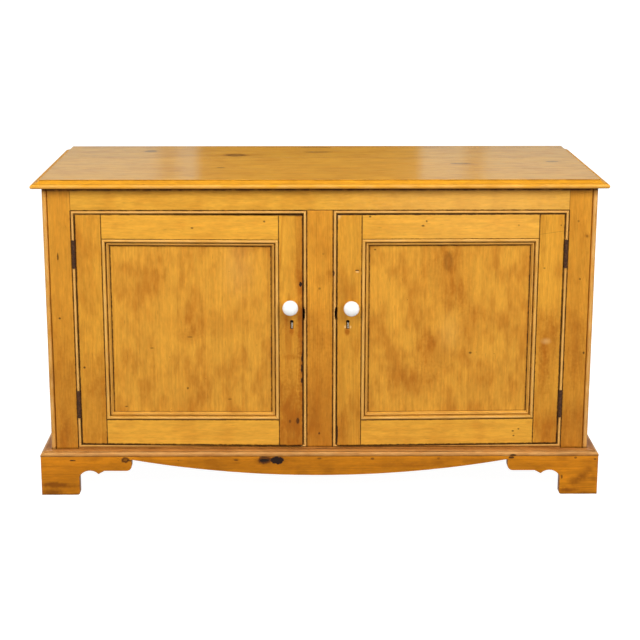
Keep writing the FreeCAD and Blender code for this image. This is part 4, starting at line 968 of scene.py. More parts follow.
@dataclass
class Top:
    """The top: three long boards with a moulded edge, and the narrower strip behind them."""

    bench: Bench
    nose: float = 5.7 * MM
    quirk_end: Pair = (7.6 * MM, 12 * MM)
    cove_radius: float = 24 * MM
    edge_width: float = 22.5 * MM
    fillet: float = 2 * MM
    arris: float = 0.5 * MM
    tones: tuple = ((1.0, 1.0), (1.02, 1.0), (0.98, 0.98), (0.93, 0.95))
    # Pine waxed and polished over many years: strong growth lines under a soft shine
    finish: Pine = Pine(spring="#E6A838", summer="#C88424", patina="#BC7618", roughness=0.36, coat=0.5,
                        coat_roughness=0.07, specular=0.12, mottle=0.35, contrast=0.8)
    # The same boards where hands rub them: warmer, dry and without the polish
    edge_finish: Pine = Pine(spring="#DE9A22", summer="#C47E14", patina="#B4700C", coat=0.0, specular=0.05,
                             mottle=0.3, contrast=0.6)

    def edge(self, thickness: float) -> tuple[np.ndarray, np.ndarray, np.ndarray]:
        """The moulded edge from the underside up: nose, quirk, cove and fillet.

        Args:
            thickness: The boards' thickness.

        Returns:
            Points of (inset, height), their wax, and their wear with a painted highlight along the nose.
        """
        arris = (self.edge_width, thickness - self.fillet)
        nose = bend((self.nose, self.nose), self.nose, 270, 90, 15)
        cove = arc_to(self.quirk_end, arris, self.cove_radius, (0, thickness + self.nose), 10)
        rim = np.array([[self.edge_width, thickness - self.arris], [self.edge_width + self.arris, thickness]])
        points = np.concatenate([nose, cove, rim])
        wax = np.concatenate([np.zeros(13), [0.15, 0.4, 0.3], np.full(8, 0.15), [0.7, 0.5, 0.1]])
        # The nose's pale band is wear and a painted highlight along its crown
        wear = np.concatenate([np.sin(np.linspace(0, math.pi, 15)) * 0.55, np.zeros(10), [0.1, 0.05]])
        return points, wax, wear

    def board(self, node: str, moulded: tuple[bool, bool, bool], seed: int) -> Skin:
        """One board: loops of the edge's insets round its plan, and a slightly wavy lid.

        Args:
            node: The CAD node that it fills.
            moulded: Whether its left, right and front edges are moulded.
            seed: Which random surface.

        Returns:
            The board's skin.
        """
        low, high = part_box(node)
        low.x, high.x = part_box("top_front_board")[0].x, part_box("top_front_board")[1].x
        points, wax, wear = self.edge(high.z - low.z)
        plain = np.zeros(len(points))
        plain[[0, -1]] = self.arris
        left, right, front = (points[:, 0] if cut else plain for cut in moulded)
        columns, rows = int((high.x - low.x) / (12 * MM)), max(3, int((high.y - low.y) / (12 * MM)))
        x_low, x_high = low.x + left[:, None], high.x - right[:, None]
        y_low, y_high = low.y + front[:, None], high.y - plain[:, None]
        run, turn = np.linspace(0, 1, columns + 1)[:-1], np.linspace(0, 1, rows + 1)[:-1]
        x_run, y_run = x_low + (x_high - x_low) * run, y_low + (y_high - y_low) * turn
        x_back, y_back = x_high + (x_low - x_high) * run, y_high + (y_low - y_high) * turn
        across = np.concatenate([x_run, x_high + 0 * turn, x_back, x_low + 0 * turn], 1)
        back = np.concatenate([y_low + 0 * run, y_run, y_high + 0 * run, y_back], 1)
        grid = np.stack([across, back, np.broadcast_to(low.z + points[:, 1:], across.shape)], -1)
        dent = np.clip(ripple(grid, 45 * MM, seed) - 0.3, 0, 1) * 0.8 * MM * wear[:, None]
        middle = np.array([(low.x + high.x) / 2, (low.y + high.y) / 2])
        inward = np.sign(middle - grid[..., :2])
        outer = np.abs(across - middle[0]) > (high.x - low.x) / 2 - 8 * MM
        grid[..., 0] += np.where(outer, inward[..., 0] * dent, 0)
        if moulded[2]:
            grid[..., 1] += np.where(back < low.y + 8 * MM, inward[..., 1] * dent, 0)
        skin = Skin()
        skin.add(grid, wax[:, None], wear[:, None], lids=False)
        share_x, share_y = np.meshgrid(np.linspace(0, 1, columns + 1), np.linspace(0, 1, rows + 1))
        fade = np.clip(12 * share_x * (1 - share_x), 0, 1) * np.clip(4 * share_y * (1 - share_y), 0, 1)
        for place in (0, -1):
            lid = np.stack([x_low[place] + (x_high - x_low)[place] * share_x,
                            y_low[place] + (y_high - y_low)[place] * share_y,
                            np.full_like(share_x, low.z + points[place, 1])], -1)
            lid[..., 2] += ripple(lid, 240 * MM, seed) * 0.15 * MM * fade
            skin.add(lid, wrap=False, lids=False)
        return skin

    def build(self) -> None:
        """Make the four boards, with the moulded edge as a second finish on each."""
        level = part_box("top_front_board")[1].z
        marks = {
            "top_front_board": marks_at(
                2, level,
                (STAIN, -280, -210, 100, 50, 100, 0.3),
            ),
            "top_middle_board": marks_at(
                2, level,
                (PIN_KNOT, -271, -96.6, 12, 6, 50, 0.8), (KNOT, 399, -23.4, 22, 10, 50, 0.55),
                (STAIN, 399, -43.4, 70, 20, 100, 0.7), (PIN_KNOT, 661, 13.1, 20, 12, 50, 0.6),
                (STAIN, -464.4, -114.2, 90, 20, 100, 0.5),
            ),
            "top_rear_board": marks_at(
                2, level,
                (KNOT, -240, 146.9, 24, 20, 50, 0.6), (STAIN, -240, 146.9, 90, 30, 100, 0.8),
                (KNOT, 0, 208.5, 30, 12, 50, 0.45), (PIN_KNOT, -493.6, 230.8, 20, 20, 50, 0.6),
                (STAIN, -544.9, 106.1, 120, 12, 100, 0.6),
            ),
            "top_back_strip": marks_at(
                2, level,
                (KNOT, -7.5, 306.8, 35, 12, 50, 0.5),
            ),
        }
        for place, (node, blemishes) in enumerate(marks.items()):
            low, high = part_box(node)
            joints = (DirtAndShadeLine(1, low.y, 1, 1.5 * MM, 0.4), DirtAndShadeLine(1, high.y, -1, 1.5 * MM, 0.4))
            tone, edge_tone = self.tones[place]
            skin = self.board(node, (True, True, place == 0), 10 + place)
            piece = self.bench.make(node, skin, self.finish, Grain.X, 40 + place, blemishes=blemishes,
                                    dirt=joints[0 if place else 1:], tone=tone, flat_sawn=0.8)
            edge = self.bench.board(f"waxed_pine_{node}_edge", self.edge_finish, Grain.X, 44 + place,
                                    tone=edge_tone)
            piece.data.materials.append(edge)
            centres = np.empty(3 * len(piece.data.polygons))
            piece.data.polygons.foreach_get("center", centres)
            moulded = centres.reshape(-1, 3)[:, 2] < level - 0.8 * MM
            piece.data.polygons.foreach_set("material_index", moulded.astype(np.int32))


@dataclass
class FaceFrame:
    """The front frame: two beaded stiles, two rails and the centre stile."""

    bench: Bench
    thickness: float = 22 * MM
    bead: float = 6.6 * MM
    quirk: float = 1.6 * MM
    foot_width: float = 65 * MM
    foot_level: float = 103 * MM
    bolt_socket: tuple = ((31.7 * MM, 12 * MM, 493 * MM), (35.6 * MM, 20 * MM, 517 * MM))
    # Upright pine under wax: clear growth lines, little shine
    finish: Pine = Pine(contrast=0.75, mottle=0.4)
    # The lighter rail under the top, kept from hands and sun
    rail_finish: Pine = Pine(spring="#DEA238", summer="#C48628", patina="#BA761C", contrast=0.42, mottle=0.35,
                             specks=0.8)
    # The rail by the floor, browned by damp and feet
    low_finish: Pine = Pine(spring="#C08038", summer="#A2682C", patina="#8E5418", contrast=0.5, mottle=0.4)

    def stile(self, side: int) -> Skin:
        """An outer stile with its quirked corner bead, narrower behind the plinth."""
        line = HALF - 2 * self.bead
        arc = bend((line + self.bead, FACE + self.bead), self.bead, 180, 360, 15)
        height = np.clip((FACE + self.bead - arc[:, 1]) / self.bead, 0, 1)
        wax = np.where(arc[:, 0] < line + self.bead, np.clip(0.9 - 4 * height, 0, 1), 0)
        section = Section.of([
            (STILE_LINE, FACE + self.thickness, 0.5 * MM), (STILE_LINE, FACE, 0.4 * MM, 0.8, 0),
            (line - self.quirk, FACE, 0.4 * MM, 1.0, 0),
            (line - self.quirk, FACE + self.bead, 0.2 * MM, 1.0, 0),
            (line, FACE + self.bead, 0.1 * MM, 1.0, 0), (arc, wax, height ** 2 * 0.8),
            (HALF, FACE + self.thickness, 0.5 * MM),
        ])
        if side < 0:
            section = section.mirrored()
        low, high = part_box("left_stile")
        grid = Run(Lay.UPRIGHT, low.z, high.z, seed=20 + side).sweep(section)
        narrow = (grid[..., 2] < self.foot_level) & (np.abs(grid[..., 0]) < HALF - self.foot_width)
        grid[..., 0] = np.where(narrow, side * (HALF - self.foot_width), grid[..., 0])
        return Skin.of(grid, section.wax, section.wear)

    def under_top(self) -> tuple[DirtAndShadeLine, DirtAndShadeLine]:
        """The painted shadow below the top's overhang: a wide faint band and a dark line."""
        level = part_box("left_stile")[1].z
        wide = DirtAndShadeLine(2, level, -1, 20 * MM, 0.3, ragged=0.12)
        return wide, DirtAndShadeLine(2, level, -1, 13 * MM, 1.6, ragged=0.08)

    def stiles(self) -> None:
        """Make the two outer stiles."""
        # Painted shade: a broad stain that darkens the stiles towards the floor, where less light falls
        painted_low_shade = (STAIN, 0, 100, 2000, 1000, 300, 0.5)
        marks = {
            "left": (
                (PIN_KNOT, -698.6, 661.4, 2.5, 20, 10), (PIN_KNOT, -700.2, 493.4, 3, 20, 3),
                (STAIN, -700, 300, 30, 100, 160, 0.35), (STAIN, -700, 150, 40, 100, 60, 0.4),
            ),
            "right": (
                (STAIN, 690, 430, 22, 100, 100, 0.75), (STAIN, 700, 170, 40, 100, 70, 0.5),
                (PIN_KNOT, 715, 395, 2.5, 20, 4), (PIN_KNOT, 696.8, 599.9, 3, 20, 2.5, 0.8),
                (PIN_KNOT, 686.6, 757, 2.5, 20, 3, 0.6), (STAIN, 712, 718, 7, 20, 7, 0.8),
                (PIN_KNOT, 711.4, 716.5, 3, 20, 4, 0.5),
            ),
        }
        for name, side in SIDES.items():
            dirt = (DirtAndShadeLine(0, side * STILE_LINE, side, 3 * MM, 1.5, until=RAIL_LINE),
                    DirtAndShadeLine(2, LEDGE, 1, 7 * MM, 0.8), *self.under_top())
            self.bench.make(f"{name}_stile", self.stile(side), self.finish, Grain.Z, 50 + side, dirt=dirt,
                            blemishes=marks_at(1, FACE, painted_low_shade, *marks[name]), tone=0.99, flat_sawn=0.3)

    def rail(self, low: float, high: float, seed: int) -> Skin:
        """A rail between the stiles, from one level to another."""
        section = squared((low, high), (FACE, FACE + self.thickness), 0.5 * MM)
        return Skin.of(Run(Lay.LEVEL, -STILE_LINE, STILE_LINE, seed=seed).sweep(section))

    def build(self) -> None:
        """Make the stiles and rails, each with its own board's grain."""
        self.stiles()
        skin = self.rail(RAIL_LINE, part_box("left_stile")[1].z, 24)
        dirt = (DirtAndShadeLine(2, RAIL_LINE, 1, 2.8 * MM, 1.4), *self.under_top(),
                *(DirtAndShadeLine(0, side * STILE_LINE, -side, 1.3 * MM, 0.35) for side in SIDES.values()))
        # Painted light: a broad pale patch lightens the right end of the rail, where the light is stronger
        marks = marks_at(1, FACE, (PALE, 420, 810, 320, 100, 200, 0.3))
        self.bench.make("frame_top_rail", skin, self.rail_finish, Grain.X, 54, blemishes=marks, dirt=dirt,
                        tone=1.03, flat_sawn=0.5)
        dirt = (DirtAndShadeLine(2, LEDGE, 1, 2 * MM, 1.0), DirtAndShadeLine(2, OPENING, -1, 1.5 * MM, 1.0))
        skin = self.rail(self.foot_level, OPENING, 26)
        self.bench.make("frame_bottom_rail", skin, self.low_finish, Grain.X, 55, dirt=dirt)
        self.centre_stile()

    def centre_stile(self) -> None:
        """Make the centre stile, with the sockets that the lock bolts enter."""
        section = squared((-CENTRE_LINE, CENTRE_LINE), (FACE, FACE + self.thickness), 0.5 * MM)
        skin = Skin.of(Run(Lay.UPRIGHT, OPENING, RAIL_LINE, seed=28).sweep(section))
        piece = skin.build("aged_centre_stile")
        carved(piece, *socket_cutters(*self.bolt_socket))
        marks = marks_at(
            1, FACE,
            (PIN_KNOT, -0.5, 574.6, 3, 20, 3, 0.6), (PIN_KNOT, 8.7, 669.4, 3, 20, 3, 0.3),
            (STAIN, 28, 617, 12, 20, 10, 0.8), (PIN_KNOT, -1.3, 168.1, 2.5, 20, 3.5),
            # The wide first stain on this line is painted shade, darkening the stile towards the floor
            (STAIN, 0, 200, 200, 100, 260, 1.1), (STAIN, 12, 600, 30, 100, 14, 0.5),
            (STAIN, -10, 190, 20, 100, 50, 0.5),
        )
        dirt = (*(DirtAndShadeLine(0, side * CENTRE_LINE, -side, 3.5 * MM, 1.4) for side in SIDES.values()),
                DirtAndShadeLine(2, RAIL_LINE, -1, 1.2 * MM, 0.35), DirtAndShadeLine(2, OPENING, 1, 6 * MM, 0.5))
        self.bench.make("centre_stile", piece, self.finish, Grain.Z, 57, blemishes=marks, dirt=dirt,
                        tone=1.04, flat_sawn=0.5)


@dataclass
class CockBeads:
    """The small rounded beads round both openings, mitred, chipped and worn by the doors."""

    bench: Bench
    width: float = 9 * MM
    proud: float = 3 * MM
    depth: float = 22 * MM
    hinge_levels: Pair = (214 * MM, 631 * MM)
    hinge_length: float = 76 * MM
    hinge_gap: float = 0.3 * MM
    worn_at_hinge: float = 7 * MM
    worn_at_lock: float = 0.6 * MM
    worn_end: float = 53.7 * MM
    chip_depth: float = 4 * MM
    chip_span: Pair = (488 * MM, 521 * MM)
    bolt_socket: tuple = ((31.7 * MM, 12 * MM, 493 * MM), (46 * MM, 20 * MM, 517 * MM))
    # Thin lengths of straight pine: plain and light; their crowns are made pale by wear and a painted
    # highlight
    finish: Pine = Pine(spring="#DCA046", summer="#C48634", patina="#B47024", contrast=0.35, mottle=0.4,
                        specks=0.6)

    def section(self, line: float, inward: int) -> Section:
        """A square bead with a half-round front, dark at its sides, and pale on its crown from wear and a
        painted highlight.

        Args:
            line: Where its outer side lies.
            inward: The direction of the opening.

        Returns:
            The section.
        """
        radius = self.width / 2
        arc = bend((line + inward * radius, FACE + radius - self.proud), radius, 180, 360, 17)
        aside = np.abs(np.cos(np.radians(np.linspace(180, 360, 17))))
        wax = np.clip((aside - 0.52) / 0.28, 0, 1)
        far = line + inward * self.width
        return Section.of([(line, FACE + self.depth, 0.3 * MM),
                           (arc[::inward], wax, np.clip(0.95 - 1.7 * aside, 0, 1)),
                           (far, FACE + self.depth, 0.3 * MM)])

    def length(self, skin: Skin, lay: Lay, line: float, inward: int, ends: Pair,
               mitres: tuple[bool, bool], seed: int,
               shape: Callable[[np.ndarray], None] | None = None) -> None:
        """Add one bead to a skin.

        Args:
            skin: Where it is added.
            lay: Upright or level.
            line: Its outer side.
            inward: The direction of the opening.
            ends: Its low and high end.
            mitres: Whether each end is mitred.
            seed: Which random surface.
            shape: A change to its points, or None.
        """
        section = self.section(line, inward)
        run = Run(lay, *ends, inward * mitres[0], -inward * mitres[1], line, step=4 * MM, arris=0.25 * MM,
                  nibble=0.35 * MM, seed=seed)
        grid = run.sweep(section)
        if shape:
            shape(grid)
        skin.add(grid, section.wax, section.wear)

    def worn_low(self, grid: np.ndarray) -> None:
        """Cut a bottom bead down to the door's path: a slope, and a hollow by the centre stile."""
        place = np.abs(grid[..., 0])
        slope = (self.worn_at_hinge - self.worn_at_lock) / (STILE_LINE - self.worn_at_hinge - self.worn_end)
        limit = self.worn_at_lock + (place - self.worn_end) * slope
        near = np.clip(self.worn_end - place, 0, self.width)
        hollow = self.worn_at_lock + self.width - np.sqrt(self.width ** 2 - near ** 2)
        limit = OPENING + np.where(place < self.worn_end, hollow, limit)
        grid[..., 2] = np.minimum(grid[..., 2], limit)

    def chipped(self, grid: np.ndarray) -> None:
        """Break the inner side of a lock-side bead away beside the bolt, with ragged ends."""
        low, high = self.chip_span
        level = grid[..., 2] + ripple(grid, 12 * MM, 31) * 2.5 * MM
        inside = np.clip(np.minimum(level - low, high - level) / (3 * MM), 0, 1)
        limit = CENTRE_LINE + self.width - inside * (self.chip_depth + ripple(grid, 9 * MM, 32) * 0.5 * MM)
        chipped = np.sign(grid[..., 0]) * np.minimum(np.abs(grid[..., 0]), limit)
        grid[..., 0] = np.where(inside > 0, chipped, grid[..., 0])

    def build(self) -> None:
        """Make the twelve beads in their four sets."""
        names = ("top_beads", "bottom_beads", "hinge_side_beads", "lock_side_beads")
        skins = {node: Skin() for node in names}
        both, stops = (True, True), [OPENING]
        for level in self.hinge_levels:
            stops += [level - self.hinge_gap, level + self.hinge_length + self.hinge_gap]
        stops.append(RAIL_LINE)
        for side in SIDES.values():
            ends = tuple(sorted((side * CENTRE_LINE, side * STILE_LINE)))
            self.length(skins["top_beads"], Lay.LEVEL, RAIL_LINE, -1, ends, both, 60 + side)
            self.length(skins["bottom_beads"], Lay.LEVEL, OPENING, 1, ends, both, 63 + side, self.worn_low)
            self.length(skins["lock_side_beads"], Lay.UPRIGHT, side * CENTRE_LINE, side, (OPENING, RAIL_LINE),
                        both, 66 + side, self.chipped)
            for place in range(3):
                self.length(skins["hinge_side_beads"], Lay.UPRIGHT, side * STILE_LINE, -side,
                            tuple(stops[2 * place:2 * place + 2]), (place == 0, place == 2),
                            70 + 3 * place + side)
        for place, (node, skin) in enumerate(skins.items()):
            piece, marks = skin.build(f"aged_{node}"), ()
            if node == "lock_side_beads":
                carved(piece, *socket_cutters(*self.bolt_socket))
                marks = marks_at(
                    1, FACE,
                    (STAIN, 38.5, 615, 4, 20, 14, 1.0), (HOLE, 36.5, 616.5, 3.5, 20, 8, 0.8),
                    (HOLE, 43.5, 507, 4.5, 20, 16), (HOLE, -43.5, 507, 4.5, 20, 16),
                )
            self.bench.make(node, piece, self.finish, Grain.Z if "side" in node else Grain.X, 80 + place,
                            blemishes=marks)


@dataclass
class Carcass:
    """The box behind the front: sides, bottom, shelf, back and the blocks that hold it together."""

    bench: Bench
    rebate: float = 10 * MM
    housing: float = 6 * MM
    # Wide waxed boards: soft growth lines and clouds of patina
    finish: Pine = Pine(contrast=0.6, mottle=0.5)
    # Pine that was never waxed: pale, dry and dusty
    bare: Pine = Pine(spring="#D9B583", summer="#B98B54", patina="#A87C4A", contrast=0.7, mottle=0.55,
                      roughness=0.62, coat=0.0, specks=0.8)
    bare_nodes: tuple[str, ...] = ("bottom_board", "shelf", "shelf_bearers", "back_rail", "back_boards",
                                   "top_glue_blocks", "foot_blocks", "door_stops")
    back_knots: tuple = ((-600, 300), (-420, 660), (-200, 410), (0, 720), (170, 250), (430, 550), (620, 350))

    def side_board(self, name: str, side: int) -> None:
        """A side with its rebate for the back boards and its housing for the bottom."""
        low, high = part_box(f"{name}_side")
        inner = min(abs(low.x), abs(high.x))
        step = (high.y - self.rebate, inner + self.rebate)
        corners = [(low.y, HALF), (high.y, HALF), (high.y, step[1]), step, (step[0], inner), (low.y, inner)]
        section = Section.of([(across, side * deep, 0.7 * MM) for across, deep in corners], 14 * MM)
        run = Run(Lay.UPRIGHT_END, low.z, high.z, seed=90 + side, step=12 * MM, wander=0.25 * MM)
        grid = run.sweep(section)
        row = int(np.searchsorted(grid[:, 0, 2], OPENING))
        grid[row - 1, :, 2], grid[row, :, 2] = OPENING - 0.1 * MM, OPENING + 0.1 * MM
        housed = (grid[..., 2] < OPENING) & (grid[..., 1] < high.y - self.rebate)
        cut = side * np.maximum(np.abs(grid[..., 0]), inner + self.housing)
        grid[..., 0] = np.where(housed, cut, grid[..., 0])
        marks = marks_at(
            0, side * HALF,
            (KNOT, -100, 630, 30, 14, 19, 0.9), (PIN_KNOT, 170, 420, 30, 7, 9),
            (KNOT, 50 + 60 * side, 240, 30, 11, 15, 0.85), (STAIN, 0, 160, 100, 350, 60, 0.45),
        )
        dirt = (DirtAndShadeLine(2, high.z, -1, 8 * MM, 0.9), DirtAndShadeLine(2, LEDGE, 1, 9 * MM, 0.6),
                DirtAndShadeLine(1, low.y, 1, 2 * MM, 0.8))
        self.bench.make(f"{name}_side", Skin.of(grid), self.finish, Grain.Z, 92 + side, blemishes=marks,
                        dirt=dirt, tone=0.97, flat_sawn=0.85)

    def build(self) -> None:
        """Make the sides and dress the boards inside."""
        for name, side in SIDES.items():
            self.side_board(name, side)
        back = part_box("back_boards")[1].y
        knots = tuple(((PIN_KNOT, KNOT)[count % 2], *place, 12, 30, 16, 0.9)
                      for count, place in enumerate(self.back_knots))
        for place, node in enumerate(self.bare_nodes):
            grain = Grain.Z if node in ("back_boards", "foot_blocks") else Grain.X
            marks = marks_at(1, back, *knots) if node == "back_boards" else ()
            material = self.bench.board(f"bare_pine_{node}", self.bare, grain, 100 + place, marks,
                                        flat_sawn=0.8)
            softened(node, 0.9 * MM, material)


@dataclass
class Plinth:
    """The plinth: shaped boards on bracket feet with a small moulding on top."""

    bench: Bench
    reach: float = 27 * MM
    apron_level: float = 101 * MM
    apron_drop: float = 45 * MM
    side_drop: float = 6 * MM
    bracket_level: float = 69 * MM
    bracket_reach: float = 248.5 * MM
    nose: float = 15 * MM
    flat_end: float = 173.5 * MM
    cusp: Pair = (156.5 * MM, 60 * MM)
    leg: Pair = (104.5 * MM, 52 * MM)
    arch: float = 32 * MM
    foot: float = 6 * MM
    arris: float = 0.7 * MM
    strip_reach: float = 27.75 * MM
    ledge_depth: float = 18.2 * MM
    bead: float = 1.6 * MM
    ovolo: float = 9.5 * MM
    ovolo_drop: float = 2 * MM
    ovolo_inset: float = 6.2 * MM
    sawn: tuple[float, ...] = (0.0, 0.4, 0.75, 0.75, 0.3, 0.0)
    damp: tuple[DirtAndShadeLine, ...] = (DirtAndShadeLine(2, 0.0, 1, 6 * MM, 0.6),)
    # Redder, darker boards with strong open growth lines, kicked and mopped for years
    finish: Pine = Pine(spring="#DC8816", summer="#AA6608", patina="#965404", contrast=0.8, mottle=0.5,
                        ring=4.2 * MM, specks=1.2)
    # The small moulding: brown and dull with dust in its quirks
    strip_finish: Pine = Pine(spring="#C8863E", summer="#A46828", patina="#905420", contrast=0.6, mottle=0.5)

    def outline(self, half: float, drop: float) -> np.ndarray:
        """A plinth board's face: two bracket feet with the bowed apron between them.

        Args:
            half: Half the board's length.
            drop: How far the apron falls in the middle.

        Returns:
            The closed outline as (count, 2).
        """
        nose = half - self.bracket_reach
        cusp, leg = (half - self.cusp[0], self.cusp[1]), (half - self.leg[0], self.leg[1])
        bow = (nose ** 2 + drop ** 2) / (2 * drop)
        turn = math.degrees(math.asin(nose / bow))
        right = np.concatenate([
            bend((0, self.apron_level - drop + bow), bow, -90, -90 + turn, 50),
            bend((nose + self.nose, self.bracket_level + self.nose), self.nose, 180, 270, 9),
            np.array([[half - self.flat_end, self.bracket_level]]),
            arc_to(cusp, leg, self.arch, ((cusp[0] + leg[0]) / 2, 0), 14),
            bend((leg[0] + self.foot, self.foot), self.foot, 180, 270, 6),
            np.array([[half, 0.0], [half, PLINTH_TOP]]),
        ])
        whole = np.concatenate([right, (right[::-1] * (-1, 1))[:-1]])
        along = np.roll(whole, -1, 0) - whole
        counts = np.maximum(1, (np.linalg.norm(along, axis=1) / (12 * MM)).astype(int))
        step = np.arange(counts.sum()) - np.repeat(np.cumsum(counts) - counts, counts)
        share = step / np.repeat(counts, counts)
        return np.repeat(whole, counts, 0) + np.repeat(along, counts, 0) * share[:, None]

    def plate(self, outline: np.ndarray, lay: Lay, front: float, back: float, seed: int) -> np.ndarray:
        """Rings of an outline through a board's thickness, stepped in at the two faces.

        Args:
            outline: The closed outline.
            lay: How the board lies: along, across and through.
            front: Its outer face.
            back: Its inner face.
            seed: Which random edge.

        Returns:
            Points as (rings, outline points, 3).
        """
        following = np.roll(outline, -1, 0)
        area = np.sum(outline[:, 0] * following[:, 1] - following[:, 0] * outline[:, 1])
        out = Section(outline, *np.zeros((3, len(outline)))).normals() * (1 if area > 0 else -1)
        thick = abs(back - front)
        insets = self.arris * np.array([1, 0.3, 0, 0, 0.3, 1])
        steps = self.arris * np.array([0, 0.3, 1])
        depths = np.concatenate([steps, thick - steps[::-1]])
        grid = np.zeros((6, len(outline), 3))
        along, across, through = lay.value
        grid[..., along] = outline[:, 0] - out[:, 0] * insets[:, None]
        grid[..., across] = outline[:, 1] - out[:, 1] * insets[:, None]
        grid[..., through] = front + np.sign(back - front) * depths[:, None]
        bite = np.clip(ripple(grid, 30 * MM, seed) - 0.25, 0, 1) * 0.5 * MM
        bite[2:4] *= 0.6
        grid[..., along] -= out[:, 0] * bite
        grid[..., across] = np.maximum(grid[..., across] - out[:, 1] * bite, 0)
        return grid

    def strip_section(self, root: float, outward: int) -> Section:
        """The moulding on the plinth: ledge, small bead and ovolo, as (across, up).

        Args:
            root: Where its back lies.
            outward: The direction that it faces.

        Returns:
            The section.
        """
        top = LEDGE - 2 * self.bead
        bead = bend((self.ledge_depth, LEDGE - self.bead), self.bead, -90, 90, 9)
        foot = (self.strip_reach, PLINTH_TOP + self.ovolo_drop)
        head = (self.strip_reach - self.ovolo_inset, top)
        ovolo = arc_to(foot, head, self.ovolo, (0, PLINTH_TOP), 9)
        flip, place = (outward, 1.0), (root, 0.0)
        return Section.of([
            (root, PLINTH_TOP, 0.2 * MM), (root + outward * self.strip_reach, PLINTH_TOP, 0.3 * MM, 0.8, 0),
            (ovolo * flip + place, np.linspace(0.35, 0.0, 9), np.linspace(0.2, 0.8, 9)),
            (root + outward * (self.ledge_depth + 0.3 * MM), top, 0.1 * MM, 0.75, 0),
            (bead * flip + place, np.linspace(0.6, 0.15, 9), np.linspace(0.1, 0.6, 9)),
            (root + outward * 6 * MM, LEDGE, 0.0, 0.35, 0), (root, LEDGE, 0.2 * MM, 1.0, 0),
        ])

    def front(self) -> None:
        """Make the front board, mitred at both ends."""
        marks = marks_at(
            1, FACE - self.reach,
            (HOLE, -116, 99.5, 20, 30, 12, 1.2), (HOLE, -152, 99.2, 13, 30, 5, 0.7),
            (KNOT, -150, 100, 13, 30, 8.5), (STAIN, -130.4, 100, 50, 50, 15, 0.7),
            (PIN_KNOT, -0.6, 104, 6.5, 30, 2.5, 0.7), (PIN_KNOT, 144.4, 103.5, 5, 30, 3, 0.8),
            (PIN_KNOT, 325, 104, 4, 30, 3, 0.6), (STAIN, 220, 85, 90, 30, 8, 0.8),
            (HOLE, -674.5, 99.5, 9, 30, 1.6), (KNOT, -531, 101, 8.5, 30, 6),
            (HOLE, -518, 98.5, 10, 30, 1.8), (PIN_KNOT, -229.1, 100, 6, 30, 2),
            (STAIN, -710, 50, 120, 50, 80, 0.5), (STAIN, -731.7, 31.1, 30, 50, 6, 1.6),
            (STAIN, -710, 26, 50, 50, 6, 1.0), (STAIN, -735, 8, 30, 50, 8, 1.2),
            (PIN_KNOT, 700.5, 105, 4, 30, 3, 0.8), (HOLE, 754, 101.1, 4, 30, 2, 0.8),
            (STAIN, 697.2, 38.4, 16, 50, 12, 1.3), (STAIN, 723.8, 51.4, 16, 50, 10, 1.3),
            (STAIN, 737.8, 72.2, 12, 50, 12, 0.7), (STAIN, 751.3, 46.1, 12, 50, 8, 1.0),
            (STAIN, 680.5, 12, 28, 50, 7, 1.8), (HOLE, 664.5, 50, 3, 30, 6, 0.7),
            (HOLE, 525, 106, 8, 30, 4, 0.9),
        )
        outline = self.outline(HALF + self.reach, self.apron_drop)
        grid = self.plate(outline, Lay.LEVEL, FACE - self.reach, FACE, 110)
        limit = HALF + (FACE - grid[..., 1])
        grid[..., 0] = np.clip(grid[..., 0], -limit, limit)
        skin = Skin.of(grid, np.array(self.sawn)[:, None])
        self.bench.make("plinth_front", skin, self.finish, Grain.X, 111, blemishes=marks, dirt=self.damp,
                        flat_sawn=0.6)

    def side_board(self, name: str, side: int) -> None:
        """Make a side board, mitred at its front end."""
        back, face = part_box("left_side")[1].y, side * (HALF + self.reach)
        length = (back - FACE + self.reach) / 2
        outline = self.outline(length, self.side_drop) + (back - length, 0)
        grid = self.plate(outline, Lay.UPRIGHT_END, face, side * HALF, 114 + side)[..., [0, 2, 1]]
        grid[..., 1] = np.maximum(grid[..., 1], FACE - (np.abs(grid[..., 0]) - HALF))
        marks = marks_at(
            0, face,
            (KNOT, 50, 85, 30, 12, 9), (STAIN, -280, 20, 50, 50, 14, 0.8),
            (STAIN, 280, 20, 50, 60, 16, 0.8),
        )
        self.bench.make(f"plinth_{name}", Skin.of(grid, np.array(self.sawn)[:, None]), self.finish, Grain.Y,
                        116 + side, blemishes=marks, dirt=self.damp)

    def strip(self, node: str, run: Run, section: Section, grain: Grain, seed: int, **board: object) -> None:
        """Make one length of the moulding on top."""
        skin = Skin.of(run.sweep(section), section.wax, section.wear)
        self.bench.make(node, skin, self.strip_finish, grain, seed, **board)

    def build(self) -> None:
        """Make the three boards and the three lengths of moulding."""
        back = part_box("left_side")[1].y
        self.front()
        for name, side in SIDES.items():
            self.side_board(name, side)
            run = Run(Lay.BACK, FACE, back, -side, 0.0, side * HALF, seed=120 + side, arris=0.2 * MM)
            self.strip(f"plinth_moulding_{name}", run, self.strip_section(side * HALF, side), Grain.Y,
                       122 + side, tone=0.72)
        marks = marks_at(
            1, FACE - self.reach,
            (HOLE, 529, 113, 12, 30, 3, 0.9), (PALE, 510, 112, 12, 30, 2, 0.9),
        )
        run = Run(Lay.ALONG, -HALF, HALF, 1.0, -1.0, FACE, seed=124, arris=0.2 * MM)
        self.strip("plinth_moulding_front", run, self.strip_section(FACE, -1), Grain.X, 125, blemishes=marks)


